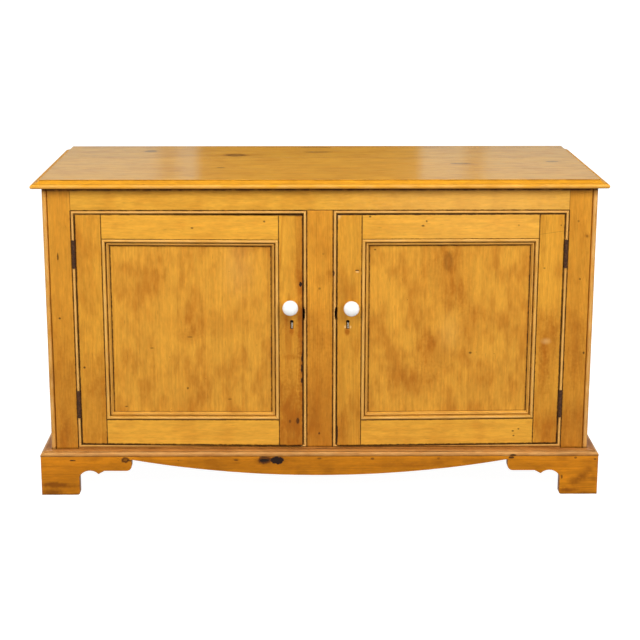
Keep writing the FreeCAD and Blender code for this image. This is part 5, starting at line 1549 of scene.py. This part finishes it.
# Marks on the doors: kind, place across and up and half sizes in millimetres, and strength
DOOR_MARKS = {
    "left_lock_stile": (
        (STAIN, -46, 420, 12, 50, 160, 1.2), (HOLE, -52, 586, 4.2, 20, 7.5, 1.2),
        (PIN_KNOT, -59.8, 203.7, 4.5, 20, 9), (PIN_KNOT, -81, 201.6, 3, 20, 5, 0.7),
        (STAIN, -78, 385, 22, 50, 8, 0.6), (STAIN, -49, 660, 15, 50, 200, 1.1),
        (PALE, -60, 774.5, 22, 20, 1.6, 0.9), (STAIN, -94, 500, 8, 50, 30, 0.9),
        (STAIN, -76, 457, 6, 20, 10, 1.6), (STAIN, -70, 220, 50, 50, 110, 0.55),
        (HOLE, -47.8, 382, 2.6, 20, 12), (HOLE, -48.4, 352, 3, 20, 13), (HOLE, -48.2, 318, 3.2, 20, 8),
    ),
    "left_hinge_stile": (
        (PIN_KNOT, -637.9, 355.9, 3, 20, 3), (STAIN, -630, 720, 30, 50, 70, 0.45),
        (STAIN, -600, 250, 30, 50, 100, 0.35),
    ),
    "left_top_rail": (
        (PIN_KNOT, -339.5, 740, 3.5, 20, 2), (PIN_KNOT, -148.2, 757.5, 3, 20, 2.5),
    ),
    "left_panel": (
        (STAIN, -354, 437.7, 30, 50, 22, 0.75), (PIN_KNOT, -351, 437.7, 6, 50, 2, 0.6),
        (STAIN, -300, 475, 120, 50, 35, 0.55), (PALE, -220, 630, 40, 50, 80, 0.16),
        (STAIN, -440, 610, 30, 50, 90, 0.4), (PIN_KNOT, -359.9, 293.2, 3, 50, 3, 0.8),
        (PIN_KNOT, -528.3, 241.6, 4, 50, 2, 0.8), (PIN_KNOT, -455.4, 406.7, 5, 50, 2, 0.6),
        (PIN_KNOT, -245.4, 261.7, 5, 50, 2, 0.6), (STAIN, -348, 260, 60, 50, 60, 0.35),
    ),
    "right_lock_stile": (
        (HOLE, 100.5, 624.5, 6.5, 20, 1.6), (PALE, 100.5, 620.5, 4.5, 20, 3, 1.2),
        (PALE, 50, 772, 5, 20, 10, 1.0), (PALE, 62, 775.5, 12, 20, 1.6, 0.9),
        (PALE, 68.5, 469, 2.6, 20, 3.6, 2.0), (PALE, 82.2, 468, 2.6, 20, 3.6, 2.0),
        (STAIN, 73.5, 456, 6, 20, 10, 1.8), (STAIN, 104, 623.1, 10, 20, 7, 0.8),
        (HOLE, 47.5, 165, 2.8, 20, 30, 0.9), (STAIN, 60, 170, 20, 50, 50, 0.5),
        (STAIN, 75, 550, 25, 50, 30, 0.35),
    ),
    "right_hinge_stile": (
        (STAIN, 620, 420, 28, 50, 90, 0.8), (PALE, 611.5, 428, 12, 50, 8, 0.6),
        (STAIN, 606, 340, 14, 50, 70, 0.7), (PIN_KNOT, 641, 746.1, 2, 20, 2, 0.7),
        (PIN_KNOT, 600.3, 629.6, 3, 20, 2, 0.7), (STAIN, 620, 170, 40, 50, 40, 0.5),
    ),
    "right_top_rail": (
        (PIN_KNOT, 273.7, 745.4, 4, 20, 2.5), (PIN_KNOT, 283.5, 757.5, 2.2, 20, 2.8),
        (PIN_KNOT, 132.8, 770, 3, 20, 2), (PIN_KNOT, 528.3, 746.2, 2, 20, 2, 0.6),
        (PALE, 420, 750, 250, 100, 200, 0.16),
    ),
    "right_bottom_rail": (
        (PIN_KNOT, 545, 179.5, 2.5, 20, 2), (PIN_KNOT, 530, 173.5, 3, 20, 2),
        (PIN_KNOT, 532, 160, 2.5, 20, 2), (STAIN, 420, 190, 90, 50, 10, 0.35),
    ),
    "right_panel": (
        (KNOT, 345, 645, 10, 50, 20, 0.25), (STAIN, 345, 600, 55, 50, 90, 0.85),
        (STAIN, 309, 390, 45, 50, 55, 0.9), (STAIN, 410, 460, 35, 50, 70, 0.7),
        (STAIN, 255, 310, 70, 50, 50, 0.6), (STAIN, 440, 310, 50, 50, 50, 0.55),
        (PALE, 350, 450, 30, 50, 50, 0.12), (PIN_KNOT, 409, 392.6, 4, 50, 3, 0.9),
        (PIN_KNOT, 147.5, 678.4, 3, 50, 2, 0.9),
    ),
}


@dataclass
class Door:
    """A framed door with a flat panel, planted mouldings, knob and lock."""

    bench: Bench
    name: str
    side: int
    sag: Pair = (1.7 * MM, 4 * MM)
    lock_widening: float = 1.2 * MM
    hinge_widening: float = 2.2 * MM
    rise: float = 0.0
    head_dirt: float = 0.8
    lock_stain: float = 0.9
    crack: tuple[DirtAndShadeLine, ...] = ()
    gap: float = 3.4 * MM
    thickness: float = 21.5 * MM
    drop: float = 6.8 * MM
    low_at_hinge: float = 137.2 * MM
    low_rail_line: float = 208.5 * MM
    top_rail_width: float = 66.8 * MM
    corner: float = 8 * MM
    panel_recess: float = 13.5 * MM
    moulding_width: float = 19 * MM
    bead: float = 4.4 * MM
    proud: float = 1.5 * MM
    valley: Point = (8.8 * MM, 11 * MM, 7.4 * MM)
    ridge: float = 2.5 * MM
    cove: float = 8 * MM
    cove_foot: float = 12.6 * MM
    keyhole: Point = (75.5 * MM, 483 * MM, 5 * MM)
    slot: Pair = (4.1 * MM, 463 * MM)
    lock: tuple = ((42 * MM, 10 * MM, 452 * MM, 519 * MM), (2 * MM, 8 * MM, 448 * MM, 523 * MM))
    # Uprights that hands touch: clear growth lines, darker wax near the lock
    stile_finish: Pine = Pine(spring="#DE9E34", summer="#BA7820", patina="#AA6212", contrast=0.75,
                              mottle=0.45)
    # Rails sawn flat: light and even
    rail_finish: Pine = Pine(spring="#E8A83A", summer="#CC8828", patina="#C0761C", contrast=0.4, mottle=0.28,
                             specks=0.6)
    # Thin wide panels: broad figure and large clouds of patina
    panel_finish: Pine = Pine(spring="#DE9E36", summer="#BE7A24", patina="#AE6616", contrast=0.42,
                              mottle=0.62, ring=9 * MM, specks=0.8)
    # Planed mouldings: nearly without figure; the ridges are made pale by wear and painted highlights
    moulding_finish: Pine = Pine(spring="#E0A23C", summer="#C4842C", patina="#B2701E", contrast=0.35,
                                 mottle=0.4, specks=0.5)

    def __post_init__(self) -> None:
        """Read the door's lines from its CAD nodes."""
        stile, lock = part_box(f"{self.name}_door_hinge_stile"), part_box(f"{self.name}_door_lock_stile")
        rows = [sorted((abs(box[0].x), abs(box[1].x))) for box in (lock, stile)]
        (self.lock_edge, self.lock_line), (self.hinge_line, self.hinge_edge) = rows
        self.lock_line += self.lock_widening
        self.hinge_line -= self.hinge_widening
        self.width = self.hinge_edge - self.lock_edge
        self.top = stile[1].z - 0.6 * MM
        self.top_line = self.top - self.top_rail_width
        self.low_line = self.low_rail_line + self.rise
        share = (self.top_line - self.low_line) / (self.top - self.low_line)
        self.line_sag = self.sag[0] + (self.sag[1] - self.sag[0]) * share

    def low(self, across: float | np.ndarray) -> float | np.ndarray:
        """The level of the door's bottom edge, which falls towards the lock."""
        return self.low_at_hinge - self.drop * (self.hinge_edge - across) / self.width

    def across(self, low: float, high: float) -> Pair:
        """Two places across, given for the right-hand door, in rising order."""
        return tuple(sorted((self.side * low, self.side * high)))

    def hang(self, grid: np.ndarray) -> np.ndarray:
        """Let the lock side sink under the door's own weight, as its joints have loosened.

        Args:
            grid: Points of a board, changed in place.

        Returns:
            The same points.
        """
        across = np.clip((self.hinge_edge - np.abs(grid[..., 0])) / self.width, 0, 1)
        up = np.clip((grid[..., 2] - self.low_line) / (self.top - self.low_line), 0, 1)
        held = np.clip((grid[..., 2] - self.low_at_hinge - 10 * MM) / (30 * MM), 0, 1)
        grid[..., 2] -= across * held * (self.sag[0] + (self.sag[1] - self.sag[0]) * up)
        return grid

    def sunk(self, level: float, sag: float, sign: int, width: float, strength: float) -> DirtAndShadeLine:
        """The dirt on a level edge, along the line that the hanging door brings it to.

        Args:
            level: The edge's level at the hinge side.
            sag: How far it falls by the lock side.
            sign: Which way the dirt thins out.
            width: Over what width.
            strength: How dark it is.

        Returns:
            The dirt line.
        """
        fall = sag / self.width
        return DirtAndShadeLine(2, level - fall * self.hinge_edge, sign, width, strength, self.side * fall)

    def upright(self, place: float, way: int, width: float, strength: float) -> DirtAndShadeLine:
        """The dirt on an upright edge, its place and direction given for the right-hand door."""
        return DirtAndShadeLine(0, self.side * place, self.side * way, width, strength)

    def head_and_foot(self) -> tuple[DirtAndShadeLine, DirtAndShadeLine]:
        """The dirt along the door's top and bottom edges."""
        return (self.sunk(self.top, self.sag[1], -1, self.gap, self.head_dirt),
                self.sunk(self.low_at_hinge, self.drop, 1, 6 * MM, 1.6))

    def marks(self, part: str) -> tuple[Blemish, ...]:
        """The marks in one board of this door, and on a stile painted shade that darkens it towards the
        floor.
        """
        rows = DOOR_MARKS.get(f"{self.name}_{part}", ())
        if "stile" in part:
            # Painted shade: a broad stain, darker towards the floor
            rows += ((STAIN, 0, 100, 2000, 1000, 300, self.lock_stain if part == "lock_stile" else 0.45),)
        return marks_at(1, FACE + (self.panel_recess if part == "panel" else 0.0), *rows)

    def rounded_corner(self, grid: np.ndarray) -> None:
        """Wear the lock stile's low corner to an arc."""
        middle = np.array([self.lock_edge + self.corner, self.low(self.lock_edge) + self.corner])
        away = middle - np.stack([np.abs(grid[..., 0]), grid[..., 2]], -1)
        length = np.linalg.norm(away, axis=-1)
        hit = (away > 0).all(-1) & (length > self.corner)
        share = np.where(hit, self.corner / np.maximum(length, 1e-6), 1.0)
        grid[..., 0] = np.where(hit, self.side * (middle[0] - away[..., 0] * share), grid[..., 0])
        grid[..., 2] = np.where(hit, middle[1] - away[..., 1] * share, grid[..., 2])

    def cutters(self) -> list[Object]:
        """What is cut from the lock stile: keyhole and lock."""
        x, z, radius = self.keyhole
        half, foot = self.slot
        turn = math.degrees(math.asin(half / radius))
        eye = bend((self.side * x, z), radius, turn - 90, 270 - turn, 25)
        outline = [(eye, 0, 0), *((self.side * x + way * half, foot, 0.4 * MM) for way in (-1, 1))]
        run = Run(Lay.BACK, FACE - MM, FACE + self.panel_recess + MM, step=0.1, arris=0, wander=0, nibble=0)
        shapes = [Skin.of(run.sweep(Section.of(outline))).build("keyhole_cutter")]
        for width, face, low, high in self.lock:
            spans = self.across(self.lock_edge - MM, self.lock_edge + width)
            back = FACE + self.thickness + MM
            shapes.append(plain_block((spans[0], FACE + face, low), (spans[1], back, high)))
        return shapes

    def stiles(self) -> None:
        """Make the two stiles, their feet cut to the door's bottom line, and the lock stile's cuts."""
        edges = (
            ("hinge_stile", self.hinge_line, self.hinge_edge, 1.03,
             (*self.crack, self.upright(self.hinge_edge, -1, self.gap, 1.5),
              self.upright(self.hinge_line, 1, 2.8 * MM, 1.7))),
            ("lock_stile", self.lock_edge, self.lock_line, 1.0,
             (self.upright(self.lock_edge, 1, self.gap, 1.5),
              self.upright(self.lock_line, -1, 2.8 * MM, 1.7))),
        )
        slope = self.side * self.drop / self.width
        for place, (part, low, high, tone, dirt) in enumerate(edges):
            node = f"{self.name}_door_{part}"
            section = squared(self.across(low, high), (FACE, FACE + self.thickness), 0.6 * MM)
            run = Run(Lay.UPRIGHT, self.low_at_hinge, self.top, slope, 0.0, self.side * self.hinge_edge,
                      seed=140 + 2 * place + self.side)
            grid = self.hang(run.sweep(section))
            if part == "lock_stile":
                self.rounded_corner(grid)
            piece = Skin.of(grid).build(f"aged_{node}")
            if part == "lock_stile":
                carved(piece, *self.cutters())
            self.bench.make(node, piece, self.stile_finish, Grain.Z, 150 + 4 * place + self.side,
                            blemishes=self.marks(part), dirt=self.head_and_foot() + dirt, tone=tone,
                            flat_sawn=0.5)

    def rails(self) -> None:
        """Make the two rails; the bottom one tapers with the door's bottom line."""
        ends = self.across(self.lock_line, self.hinge_line)
        joints = tuple(DirtAndShadeLine(0, end, way, 1.8 * MM, 0.8) for end, way in zip(ends, (1, -1)))
        head, foot = self.head_and_foot()
        over = self.sunk(self.top_line, self.line_sag, 1, 2.4 * MM, 1.2)
        under = self.sunk(self.low_line, self.sag[0], -1, 3 * MM, 1.8)
        rows = (("top_rail", self.top_line, self.top, (head, over)),
                ("bottom_rail", self.low_at_hinge - self.drop / 2, self.low_line, (foot, under)))
        for part, low, high, dirt in rows:
            section = squared((low, high), (FACE, FACE + self.thickness), 0.6 * MM)
            grid = Run(Lay.LEVEL, *ends, seed=160 + self.side).sweep(section)
            if part == "bottom_rail":
                edge = self.low(np.abs(grid[..., 0]))
                grid[..., 2] = high - (high - grid[..., 2]) * (high - edge) / (high - low)
            self.bench.make(f"{self.name}_door_{part}", Skin.of(self.hang(grid)), self.rail_finish, Grain.X,
                            164 + len(part) + self.side, blemishes=self.marks(part), dirt=joints + dirt,
                            flat_sawn=0.6)

    def panel(self) -> None:
        """Make the flat panel, darkened on its front face where the mouldings meet it, most under the top
        one.
        """
        node = f"{self.name}_door_panel"
        inner = self.across(self.lock_line + self.moulding_width, self.hinge_line - self.moulding_width)
        high, low = self.top_line - self.moulding_width, self.low_line + self.moulding_width
        lines = (*(DirtAndShadeLine(0, end, way, 4.5 * MM, 1.3) for end, way in zip(inner, (1, -1))),
                 self.sunk(high, self.line_sag, -1, 3.4 * MM, 1.5),
                 self.sunk(low, self.sag[0], 1, 2.4 * MM, 0.7))
        dirt = tuple(replace(line, until=FACE + self.panel_recess + 2 * MM, until_axis=1) for line in lines)
        skin = node_board(node, Lay.UPRIGHT, 172 + self.side, wander=0.2 * MM)
        piece = self.bench.make(node, skin, self.panel_finish, Grain.Z, 170 + self.side, flat_sawn=0.95,
                                blemishes=self.marks("panel"), dirt=dirt)
        piece.data.transform(Matrix.Translation((0, FACE + self.panel_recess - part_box(node)[0].y, 0)))

    def moulding_section(self, line: float, inward: int) -> Section:
        """The planted moulding: bead, dark valley, ridge and cove, as (across, deep).

        Args:
            line: The edge of the stile or rail that it lies against.
            inward: The direction of the panel.

        Returns:
            The section.
        """
        low, middle = FACE + self.valley[2], self.valley[1] + self.ridge
        bead = bend((self.bead, FACE + self.bead - self.proud), self.bead, 180, 360, 13)
        ridge = bend((middle, low), self.ridge, 180, 360, 9)
        foot = (self.moulding_width, FACE + self.cove_foot)
        cove = arc_to((middle + self.ridge, low), foot, self.cove, (self.moulding_width, FACE), 7)
        rise, low_rise = (np.sin(np.linspace(0, math.pi, count)) for count in (13, 9))
        flip, place = (inward, 1.0), (line, 0.0)
        valley_end = line + inward * (self.valley[1] - 0.1 * MM)
        return Section.of([
            (line, FACE + self.panel_recess, 0.0),
            # The bead's pale crown is wear and a painted highlight
            (bead * flip + place, np.clip(1.3 - 2.0 * rise, 0, 1), rise ** 2 * 0.7),
            (line + inward * self.valley[0], low, 0.1 * MM, 1.0, 0), (valley_end, low, 0.1 * MM, 1.0, 0),
            (ridge * flip + place, (1 - low_rise) ** 2 * 0.9, low_rise * 0.4),
            (cove * flip + place, np.array([0.2, 0, 0, 0, 0, 0.5, 1.0]), 0.1),
            (line + inward * self.moulding_width, FACE + self.panel_recess, 0.0, 1.0, 0),
        ])

    def mouldings(self) -> None:
        """Make the four mitred lengths round the panel."""
        upright, level = (self.low_line, self.top_line), self.across(self.lock_line, self.hinge_line)
        side = self.side
        rows = {
            "stile": (Lay.UPRIGHT, Grain.Z, upright, 130 + side,
                      ((side * self.lock_line, side, 1.0), (side * self.hinge_line, -side, 1.0))),
            "rail": (Lay.LEVEL, Grain.X, level, 133 + side,
                     ((self.low_line, 1, 0.6), (self.top_line, -1, 1.0))),
        }
        for kind, (lay, grain, ends, seed, lines) in rows.items():
            skin = Skin()
            for line, inward, dirt in lines:
                section = self.moulding_section(line, inward)
                run = Run(lay, *ends, inward, -inward, line, step=4 * MM, arris=0, nibble=0.3 * MM, seed=seed)
                skin.add(self.hang(run.sweep(section)), section.wax * dirt, section.wear)
            node = f"{self.name}_door_{kind}_mouldings"
            self.bench.make(node, skin, self.moulding_finish, grain, 136 + side)

    def build(self) -> None:
        """Make the door's boards and mouldings."""
        self.stiles()
        self.rails()
        self.panel()
        self.mouldings()


@dataclass
class Fittings:
    """Porcelain knobs, cast butt hinges, cut locks and every screw."""

    knob_sink: float = 1.9 * MM
    knob_arcs: tuple = ((11.0, 2.5), (8.5, 9.5), (21.1, 24.0), (16.0, 32.0), (0.0, 36.0))
    hinge_levels: Pair = (214 * MM, 631 * MM)
    hinge_length: float = 76 * MM
    hinge_inset: float = 10.2 * MM
    screw_places: tuple = ((0.16, 12.71 * MM), (0.5, 16.76 * MM), (0.84, 12.71 * MM))
    leaf: float = 2.5 * MM
    hinge_screw: tuple[float, float, float, float] = (3.6 * MM, 1.9 * MM, 1.6 * MM, 19 * MM)
    lock_screw: tuple[float, float, float, float] = (2.8 * MM, 1.5 * MM, 1.3 * MM, 14 * MM)
    lock_screw_places: Pair = (52.7 * MM, 80.7 * MM)
    lock_screw_level: float = 459 * MM
    door_thickness: float = 21.5 * MM
    ward: float = 4.4 * MM
    ward_span: Pair = (464 * MM, 480 * MM)
    keyhole: float = 75.5 * MM

    def knob(self, name: str, porcelain: Material) -> None:
        """A turned knob: seat, hollow neck, full belly and a low crown."""
        low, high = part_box(f"{name}_knob")
        (seat, lip), (neck, throat), (belly, wide), (shoulder, far), (_, tip) = self.knob_arcs
        rise, run = belly - neck, wide - throat
        out = (run ** 2 + rise ** 2) / (2 * rise)
        profile = np.concatenate([
            np.array([[0.0, 0.0], [0.0, seat - 0.4], [-0.4, seat], [-lip + 0.5, seat], [-lip, seat - 0.5]]),
            arc_to((-lip - 0.2, seat - 1.2), (-throat, neck), 12.0, (-throat, belly), 7),
            arc_to((-throat - 0.3, neck + 0.3), (-wide, belly), out, (-wide, 0), 14),
            arc_to((-wide, belly), (-far, shoulder), (64 + 25) / 10, (-wide, 0), 10)[1:],
            arc_to((-far, shoulder), (-tip, 0.0), (shoulder ** 2 + 16) / 8, (0, 0), 14)[1:],
        ]) * MM
        centre = ((low.x + high.x) / 2, FACE, (low.z + high.z) / 2 - self.knob_sink)
        dress(turned_skin(profile, centre).build(f"glazed_{name}_knob", 50), porcelain, f"{name}_knob")

    def screws(self, node: str, centres: list[tuple], metal: Material,
               sizes: tuple[float, float, float, float]) -> None:
        """Slotted countersunk screws, each at a head centre and along a way.

        Args:
            node: The CAD node that they replace.
            centres: Rows of (centre, way), the way one of the world axes with a sign.
            metal: Their material.
            sizes: Head radius, head depth, shank radius and length.
        """
        head, depth, shank, length = sizes
        profile = np.array([[0, 0], [0, head - 0.25 * MM], [0.2 * MM, head], [depth, shank],
                            [length - 2 * MM, shank], [length, 0]])
        rng = np.random.default_rng(len(node))
        turn = np.linspace(0, 2 * math.pi, 20, endpoint=False)
        skin, cutters = Skin(), []
        for centre, way in centres:
            axis = int(np.argmax(np.abs(way)))
            first, second = (place for place in range(3) if place != axis)
            grid = np.zeros((len(profile), 20, 3)) + np.array(centre)
            grid[..., axis] += way[axis] * profile[:, :1]
            grid[..., first] += profile[:, 1:] * np.cos(turn)
            grid[..., second] += profile[:, 1:] * np.sin(turn)
            skin.add(grid)
            block = plain_block((-head - MM, -0.4 * MM, -0.7 * MM), (head + MM, 0.4 * MM, 0.7 * MM))
            flat = np.empty(3 * len(block.data.vertices))
            block.data.vertices.foreach_get("co", flat)
            points = flat.reshape(-1, 3)
            angle = rng.uniform(0, math.pi)
            placed = np.zeros_like(points) + np.array(centre)
            placed[:, first] += points[:, 0] * math.cos(angle) - points[:, 1] * math.sin(angle)
            placed[:, second] += points[:, 0] * math.sin(angle) + points[:, 1] * math.cos(angle)
            placed[:, axis] += points[:, 2]
            block.data.vertices.foreach_set("co", placed.astype(np.float32).ravel())
            work = bmesh.new()
            work.from_mesh(block.data)
            bmesh.ops.recalc_face_normals(work, faces=work.faces)
            work.to_mesh(block.data)
            work.free()
            cutters.append(block)
        piece = skin.build(f"slotted_{node}", 30)
        carved(piece, *cutters)
        dress(piece, metal, node)

    def side_metal(self, name: str, side: int, lock: Material, steel: Material,
                   ward: Material) -> None:
        """Make the metal of one door, apart from its hinges and screws.

        Args:
            name: The door's side in words.
            side: The same as a sign.
            lock: The lock's material.
            steel: The knob bolt's material.
            ward: The ward's material.
        """
        softened(f"{name}_knob_fixing", 0.3 * MM, steel)
        softened(f"{name}_lock_case", 0.4 * MM, lock)
        softened(f"{name}_lock_bolt", 0.5 * MM, lock)
        middle = side * self.keyhole
        edges = (middle - self.ward / 3, middle + 2 * self.ward / 3)
        section = squared(edges, (FACE + 2 * MM, FACE + 9 * MM), 0.5 * MM)
        run = Run(Lay.UPRIGHT, *self.ward_span, step=2 * MM, arris=0.4 * MM, wander=0.05 * MM,
                  nibble=0.2 * MM, seed=180 + side)
        dress(Skin.of(run.sweep(section)).build(f"worn_{name}_lock_ward"), ward, f"{name}_lock_case")

    def build(self) -> None:
        """Make all the metal and porcelain."""
        finishes = (PORCELAIN, RUSTY_IRON, LOCK_METAL, FASTENER_METAL, WARD_METAL)
        porcelain, iron, lock, steel, ward = (finish.material() for finish in finishes)
        frame_line, door_line = STILE_LINE - self.leaf, STILE_LINE - self.hinge_inset + self.leaf
        levels = [(level + self.hinge_length * share, FACE + back)
                  for level in self.hinge_levels for share, back in self.screw_places]
        frame_screws = []
        for name, side in SIDES.items():
            self.knob(name, porcelain)
            self.side_metal(name, side, lock, steel, ward)
            softened(f"{name}_door_hinge_leaves", 0.3 * MM, iron)
            frame_screws += [((side * frame_line, back, up), (side, 0, 0)) for up, back in levels]
            door_screws = [((side * door_line, back, up), (-side, 0, 0)) for up, back in levels]
            self.screws(f"{name}_door_hinge_screws", door_screws, steel, self.hinge_screw)
            lock_screws = [((side * across, FACE + self.door_thickness, self.lock_screw_level), (0, -1, 0))
                           for across in self.lock_screw_places]
            self.screws(f"{name}_lock_screws", lock_screws, steel, self.lock_screw)
        softened("frame_hinge_leaves", 0.3 * MM, iron)
        softened("hinge_pins", 0.3 * MM, steel)
        self.screws("frame_hinge_screws", frame_screws, steel, self.hinge_screw)


def seen_rays(add: Callable[..., Node]) -> Node:
    """One for rays from the camera, in reflections and through glass, and nothing for all else."""
    path = add("LightPath")
    seen = add("Math:MAXIMUM", path.outputs["Is Camera Ray"], path.outputs["Is Glossy Ray"])
    return add("Math:MAXIMUM", seen, path.outputs["Is Transmission Ray"])


def card(name: str, corners: list[Point]) -> tuple[Object, Callable]:
    """A flat sheet of the studio, and what adds nodes to its empty material.

    Args:
        name: Its name, its mesh's and its material's.
        corners: Its four corners.

    Returns:
        The object, and the function that adds nodes.
    """
    mesh = bpy.data.meshes.new(name)
    mesh.from_pydata(corners, [], [(0, 1, 2, 3)])
    material = bpy.data.materials.new(name)
    mesh.materials.append(material)
    return linked(name, mesh), cleared(material)


@dataclass
class Studio:
    """The pale floor, the soft lights and the camera of the photograph."""

    focal: float = 89.34
    sensor: float = 36.0
    eye: Point = (-0.0547, -4.4568, 1.5222)
    pitch: float = 13.992
    roll: float = 0.0156
    yaw: float = -0.304
    shift: float = 0.0194
    floor_reach: float = 30.0
    wall_place: float = 3.6
    wall_reach: float = 9.0
    wall_span: Pair = (0.9, 4.5)
    bars: tuple = ((-0.722, 0.0, 0.10, 0.58), (-0.005, 0.53, 0.605, 1.0), (0.843, 0.0, 0.10, 0.58))

    def camera(self) -> None:
        """Set the camera at the photograph's place."""
        data = bpy.data.cameras.new("photo_camera")
        data.lens, data.sensor_width, data.shift_x = self.focal, self.sensor, self.shift
        camera = linked("photo_camera", data)
        camera.location = self.eye
        camera.rotation_euler = tuple(math.radians(turn) for turn in (90 - self.pitch, self.roll, self.yaw))
        bpy.context.scene.camera = camera

    def floor(self) -> None:
        """A wide pale floor that looks white to the camera where no shadow falls."""
        reach = self.floor_reach
        corners = [(-reach, -reach, 0), (reach, -reach, 0), (reach, reach, 0), (-reach, reach, 0)]
        floor, add = card("floor", corners)
        away = add("VectorMath:LENGTH", add("TexCoord").outputs["Object"]).outputs[1]
        glow = add("Math:MULTIPLY", seen_rays(add), add("MapRange", away, 1.1, 2.6, 0.975, 1.0))
        both = add("AddShader", add("BsdfDiffuse", linear("#8E8E8E")), add("Emission", (1, 1, 1, 1), glow))
        add("OutputMaterial", both)

    def lamp(self, name: str, place: Point, aim: Point,
             size: Pair, power: float, glossy: bool = True) -> None:
        """A soft rectangular light.

        Args:
            name: Its name.
            place: Where it stands.
            aim: What it faces.
            size: Its width and height.
            power: Its strength in watts.
            glossy: Whether reflections show it.
        """
        data = bpy.data.lights.new(name, "AREA")
        data.shape, data.size, data.size_y = "RECTANGLE", size[0], size[1]
        data.energy = power
        lamp = linked(name, data)
        lamp.location = place
        way = np.array(aim) - np.array(place)
        flat = math.hypot(way[0], way[1])
        lamp.rotation_euler = (math.atan2(flat, -way[2]), 0.0, math.atan2(way[1], way[0]) - math.pi / 2)
        lamp.visible_camera, lamp.visible_glossy = False, glossy

    def world(self) -> None:
        """White to the camera and to reflections, and a plain soft light to all else."""
        world = bpy.data.worlds.new("white_studio")
        add = cleared(world)
        strength = add("MapRange", seen_rays(add), 0.0, 1.0, 0.5, 1.0)
        add("OutputWorld", add("Background", (1, 1, 1, 1), strength))
        bpy.context.scene.world = world

    def window_wall(self) -> None:
        """An upright card far behind the piece, seen only as sheen on the waxed top.

        It looks like tall windows in a dark wall: each bar is a place across with an inner and an
        outer half width and a depth, and the sky's light fades by the depth from the outer to the inner.
        """
        reach, (low, high) = self.wall_reach, self.wall_span
        places = ((-reach, low), (reach, low), (reach, high), (-reach, high))
        corners = [(x, self.wall_place, z) for x, z in places]
        wall, add = card("window_wall", corners)
        across = add("SeparateXYZ", add("TexCoord").outputs["Object"])
        level = None
        for centre, inner, outer, depth in self.bars:
            away = add("Math:ABSOLUTE", add("Math:SUBTRACT", across, centre))
            pane = add("MapRange:SMOOTHSTEP", away, inner, outer, 1.0 - depth, 1.0)
            level = pane if level is None else add("Math:MULTIPLY", level, pane)
        colour = add("MixRGB", level, linear("#22262A"), linear("#73AABA"))
        add("OutputMaterial", add("Emission", colour, 1.0))
        for ray in ("camera", "diffuse", "transmission", "shadow"):
            setattr(wall, f"visible_{ray}", False)

    def build(self) -> None:
        """Set the whole studio."""
        self.camera()
        self.floor()
        self.window_wall()
        self.world()
        self.lamp("key_left", (-3.1, -2.9, 2.6), (0, 0, 0.7), (2.0, 1.6), 78)
        self.lamp("key_right", (3.1, -2.9, 2.6), (0, 0, 0.7), (2.0, 1.6), 84)
        self.lamp("front_top", (0, -1.9, 2.5), (0, 0, 0.7), (2.4, 0.7), 28)
        self.lamp("overhead", (0, 0.1, 3.0), (0, 0.1001, 0.0), (2.4, 1.0), 12)
        self.lamp("behind", (0, 3.2, 2.4), (0, 0, 0.5), (3.0, 1.4), 45, glossy=False)
        bpy.context.scene.view_settings.view_transform = "Standard"


def main() -> None:
    """Build the sideboard's looks from the studio to the last screw."""
    logging.basicConfig(level=logging.INFO, format="%(name)s: %(message)s")
    Studio().build()
    bench = Bench()
    for part in (Top, FaceFrame, CockBeads, Carcass, Plinth):
        part(bench).build()
    Door(bench, "left", -1).build()
    Door(bench, "right", 1, sag=(5.4 * MM, 1.2 * MM), lock_widening=3 * MM, hinge_widening=0.0, rise=2.2 * MM,
         head_dirt=1.5, lock_stain=0.45, crack=(DirtAndShadeLine(2, 0.638, 0, 0.7 * MM, 0.7, 0.143),)).build()
    Fittings().build()


if __name__ == "__main__":
    main()
